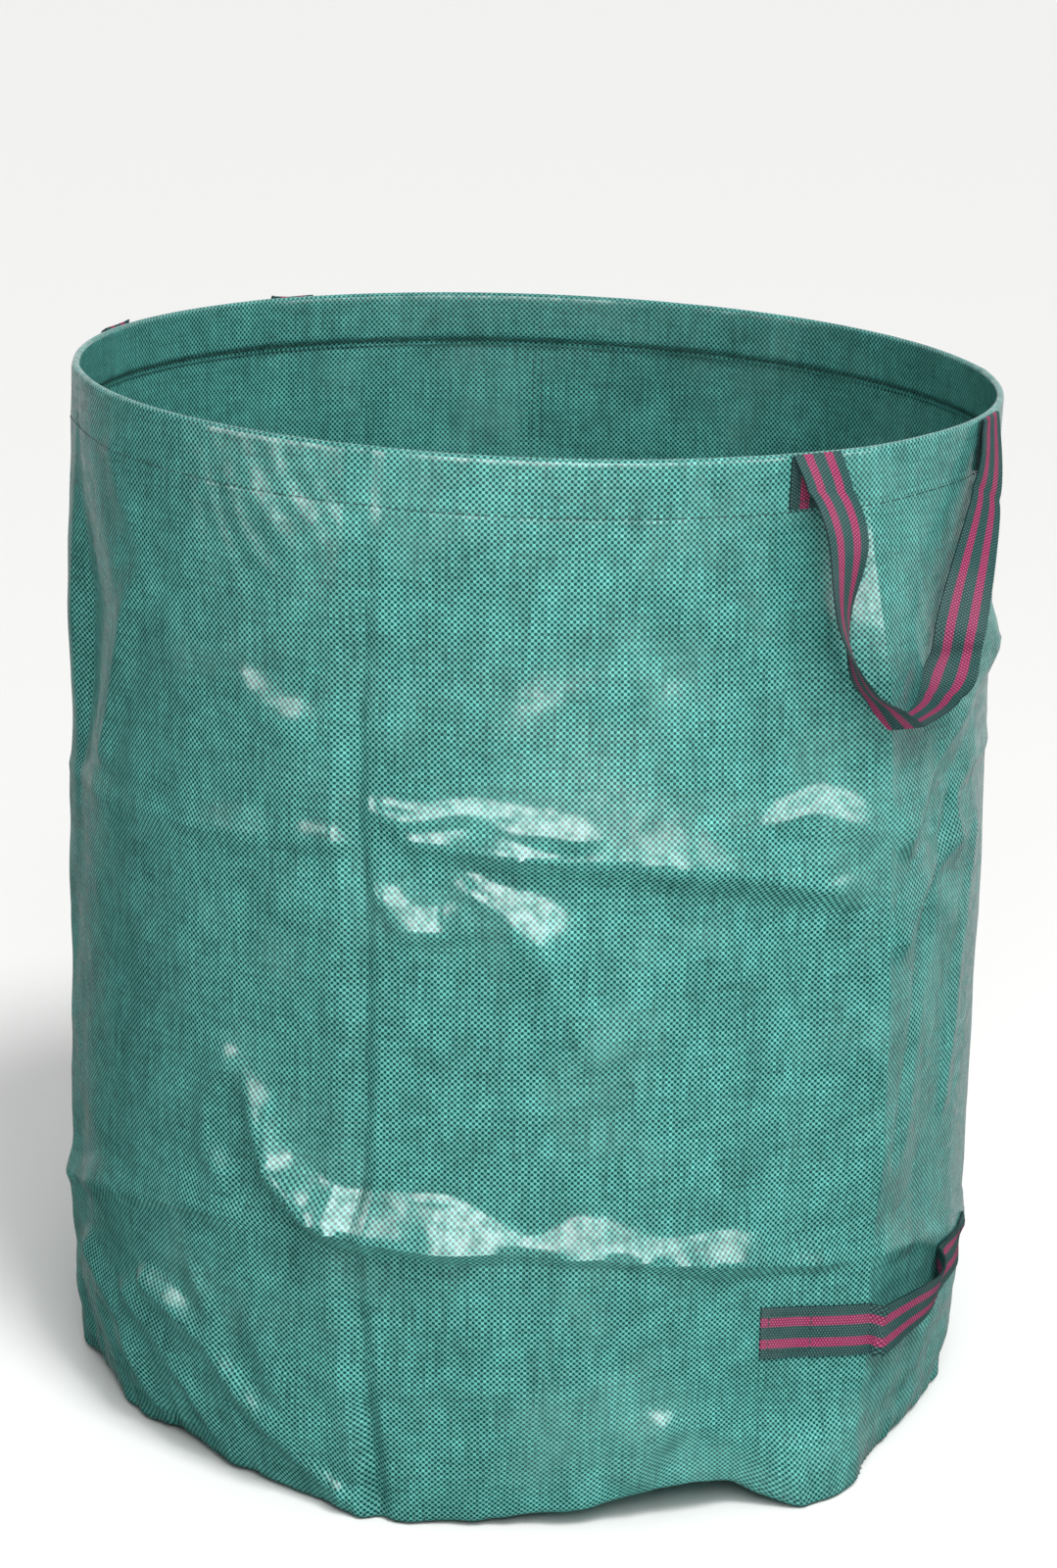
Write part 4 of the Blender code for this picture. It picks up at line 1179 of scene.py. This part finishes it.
woven, given, result = new_group(
    "woven_tapes", "Cloth", {"Tape Width": TAPE_WIDTH, "Contrast": 2.0, "Cover": 0.10}, ("On Top", "Relief", "Tone")
)
on_cloth = add(woven, "ShaderNodeSeparateXYZ", {0: given["Cloth"]}).outputs
tapes = [maths(woven, "DIVIDE", on_cloth[axis], given["Tape Width"]) for axis in (0, 1)]
checks = maths(woven, "MULTIPLY", *(maths(woven, "SINE", maths(woven, "MULTIPLY", tape, pi)) for tape in tapes))
sharp = maths(woven, "MULTIPLY_ADD", checks, given["Contrast"], 0.5)
tones = []
for axis, drawn_out in ((0, 0.06), (1, 0.10)):
    step = maths(woven, "MULTIPLY", maths(woven, "FLOOR", tapes[axis]), TAPE_STEP)
    run = maths(woven, "MULTIPLY", tapes[1 - axis], drawn_out)
    tape_place = add(woven, "ShaderNodeCombineXYZ", {axis: step, 1 - axis: run}).outputs[0]
    tones.append(uneven(woven, tape_place, 1.0, 2.0, 0.5))
fill(woven, result, {
    "On Top": maths(woven, "ADD", sharp, given["Cover"], clamp=True),
    "Relief": maths(woven, "POWER", maths(woven, "ABSOLUTE", checks), 0.5),
    "Tone": maths(woven, "MULTIPLY_ADD", tones[1], 0.45, maths(woven, "MULTIPLY", tones[0], 0.55)),
})
print("woven_tapes has", len(woven.nodes), "nodes")

# %% [markdown]
# Handling leaves every part of such a bag a little uneven: dust and scuffs dull the film in soft
# patches, and the webbing fades. One group of two noises serves all of them, each material taking
# it at its own scale.

# %% Make the worn patches
worn, given, result = new_group(
    "worn_patches", "Place", {"Scale": 6.0, "Low": 0.35, "High": 0.70}, ("Patches", "Grain")
)
broad = uneven(worn, given["Place"], given["Scale"], 5.0, 0.6)
fill(worn, result, {
    "Patches": map_range(worn, broad, given["Low"], given["High"], interpolation_type="SMOOTHSTEP"),
    "Grain": uneven(worn, given["Place"], maths(worn, "MULTIPLY", given["Scale"], 14.0), 4.0, 0.7),
})
print("worn_patches has", len(worn.nodes), "nodes")


def places(tree):
    """Where a place is: UV on the flat cloth, and Object on the bag."""
    return add(tree, "ShaderNodeTexCoord").outputs


def wear_of(tree, scale, **limits):
    """The worn patches and the grain of a material."""
    values = {"Place": places(tree)["Object"], "Scale": scale, **limits}
    return add(tree, "ShaderNodeGroup", values, node_tree=worn).outputs


# %% [markdown]
# ## Filmed cloth
# The colour comes from the tape on top. Some tapes are a little lighter than their neighbours, which draws
# faint upright streaks. The film is a clear coat with its own even gloss, thinner in places. Under it the weave
# is felt as a fine relief, and tiny crinkles in the film break up the highlights.

# %% Mix the filmed cloth
DARK_TAPE = (0.0003, 0.050, 0.043, 1)
MINT_TAPE = (0.108, 0.362, 0.326, 1)
HAZE = (0.14, 0.34, 0.31, 1)
TAPE_RELIEF = 0.00006
CRINKLE_RELIEF = 0.0009

filmed_cloth, tree = new_material("filmed_cloth")
place = places(tree)
weave = add(tree, "ShaderNodeGroup", {"Cloth": place["UV"]}, node_tree=woven).outputs
wear = wear_of(tree, 9.0, Low=0.50, High=0.72)
checked = blend_colours(tree, weave["On Top"], DARK_TAPE, MINT_TAPE)
tone = map_range(tree, weave["Tone"], 0.30, 0.70, 0.64, 1.38)
cloudy = map_range(tree, uneven(tree, place["Object"], 24.0, 5.0, 0.65), 0.35, 0.65, 0.84, 1.16)
shade = maths(tree, "MULTIPLY", tone, cloudy)
toned = add(tree, "ShaderNodeVectorMath", {0: checked, "Scale": shade}, operation="SCALE").outputs[0]
crinkle = uneven(tree, place["UV"], 110.0, 3.0, 0.6)
height = maths(tree, "MULTIPLY", weave["Relief"], TAPE_RELIEF)
wire(
    tree,
    Base_Color=blend_colours(tree, maths(tree, "MULTIPLY", wear["Patches"], 0.22), toned, HAZE),
    Roughness=map_range(tree, wear["Patches"], to_low=0.30, to_high=0.45),
    Normal=bump(tree, maths(tree, "MULTIPLY_ADD", crinkle, CRINKLE_RELIEF, height), 0.7),
    Coat_Weight=map_range(tree, crinkle, 0.38, 0.60, 0.35, 1.0),
    Coat_Roughness=0.19,
    Specular_IOR_Level=0.03,
)

for piece in (lower_wall, upper_wall, rim_hem, bag_base):
    piece.data.materials.append(filmed_cloth)
print("filmed cloth on 4 pieces")

# %% [markdown]
# ## Webbing
# The straps are woven from coarse polypropylene yarn: dark green with two pink stripes. Seen close, short
# ribs lie across the strap in narrow columns, each a half step off its neighbour. The colour is darkened in
# the hollows between the ribs as painted shade, and lightened on the ribs as painted light. The UV map gives
# both directions in metres, so stripes, columns and ribs keep their size round every turn.

# %% Mix the webbing
# Each colour is given twice: darker as painted shade in the hollows, lighter as painted light on the ribs.
WEB_GREEN = ((0.005, 0.026, 0.026, 1), (0.060, 0.170, 0.160, 1))  # in the hollows and on the ribs
WEB_PINK = ((0.120, 0.010, 0.036, 1), (0.560, 0.090, 0.230, 1))
FADED = (0.25, 0.25, 0.25, 1)
COLUMN = 0.0019
RIB = 0.0023
RIB_RELIEF = 0.00035
YARN_RELIEF = 0.00012

webbing, tree = new_material("striped_webbing")
on_strap = add(tree, "ShaderNodeSeparateXYZ", {0: places(tree)["UV"]}).outputs
off_middle = maths(tree, "DIVIDE", maths(tree, "ABSOLUTE", on_strap[0]), WEBBING_WIDTH)
inner_edge = map_range(tree, off_middle, 0.118, 0.130)
stripe = maths(tree, "MULTIPLY", inner_edge, map_range(tree, off_middle, 0.300, 0.312, 1.0, 0.0))
column = maths(tree, "DIVIDE", on_strap[0], COLUMN)
count = maths(tree, "FLOOR", maths(tree, "ADD", column, 100.0))  # kept above zero for the remainder
half_step = maths(tree, "MULTIPLY", maths(tree, "MODULO", count, 2.0), 0.5)
ribs = maths(tree, "ADD", maths(tree, "DIVIDE", on_strap[1], RIB), half_step)
rib_wave = maths(tree, "SINE", maths(tree, "MULTIPLY", ribs, 2 * pi))
column_wave = maths(tree, "ABSOLUTE", maths(tree, "SINE", maths(tree, "MULTIPLY", column, pi)))
rounded = maths(tree, "MULTIPLY_ADD", rib_wave, 0.5, 0.5)
rib = maths(tree, "MULTIPLY", rounded, maths(tree, "POWER", column_wave, 0.6))
wear = wear_of(tree, 22.0)
# The rib's height picks the lighter colour as painted light, and the hollows take the darker one as painted shade.
hollow_painted_shade, rib_painted_light = (blend_colours(tree, stripe, green, pink) for green, pink in zip(WEB_GREEN, WEB_PINK))
yarn_with_painted_shade = blend_colours(tree, maths(tree, "POWER", rib, 1.4), hollow_painted_shade, rib_painted_light)
yarn_height = maths(tree, "MULTIPLY_ADD", wear["Grain"], YARN_RELIEF, maths(tree, "MULTIPLY", rib, RIB_RELIEF))
wire(
    tree,
    Base_Color=blend_colours(tree, maths(tree, "MULTIPLY", wear["Patches"], 0.08), yarn_with_painted_shade, FADED),
    Roughness=map_range(tree, wear["Grain"], to_low=0.55, to_high=0.80),
    Normal=bump(tree, yarn_height, 0.8),
    Specular_IOR_Level=0.10,
)


def put_on(material, endings):
    pieces = [item for item in bpy.data.objects if item.name.endswith(endings)]
    for piece in pieces:
        piece.data.materials.append(material)
    print(material.name, "on", len(pieces), "pieces")


put_on(webbing, ("_webbing", "_tail"))

# %% [markdown]
# ## Thread and plastic
# The thread is twisted: fine slanting bands of light and shade run round it, read from object
# coordinates because the stitches have no UVs. The hoop and its sleeve are plain black
# plastic, seen only where the hem is open, with faint scuffs.

# %% Mix the thread and the plastic
thread, tree = new_material("twisted_thread")
bands = {"Vector": places(tree)["Object"], "Scale": 420.0, "Distortion": 1.5, "Detail": 1.0}
twist = add(tree, "ShaderNodeTexWave", bands, bands_direction="DIAGONAL").outputs["Fac"]
wire(
    tree,
    Base_Color=blend_colours(tree, twist, (0.003, 0.030, 0.026, 1), (0.010, 0.070, 0.060, 1)),
    Roughness=map_range(tree, wear_of(tree, 30.0)["Patches"], to_low=0.50, to_high=0.75),
    Normal=bump(tree, twist, 0.5, 0.0002),
)
put_on(thread, "_stitches")

hoop_plastic, tree = new_material("hoop_plastic")
wear = wear_of(tree, 18.0)
wire(
    tree,
    Base_Color=blend_colours(tree, wear["Patches"], (0.018, 0.018, 0.019, 1), (0.040, 0.040, 0.040, 1)),
    Roughness=map_range(tree, wear["Grain"], to_low=0.35, to_high=0.55),
    Normal=bump(tree, wear["Grain"], 0.3, 0.0003),
)
for name in ("rim_hoop", "hoop_sleeve"):
    for slot in bpy.data.objects[name].material_slots:
        slot.material = hoop_plastic
print("hoop_plastic on 2 pieces")
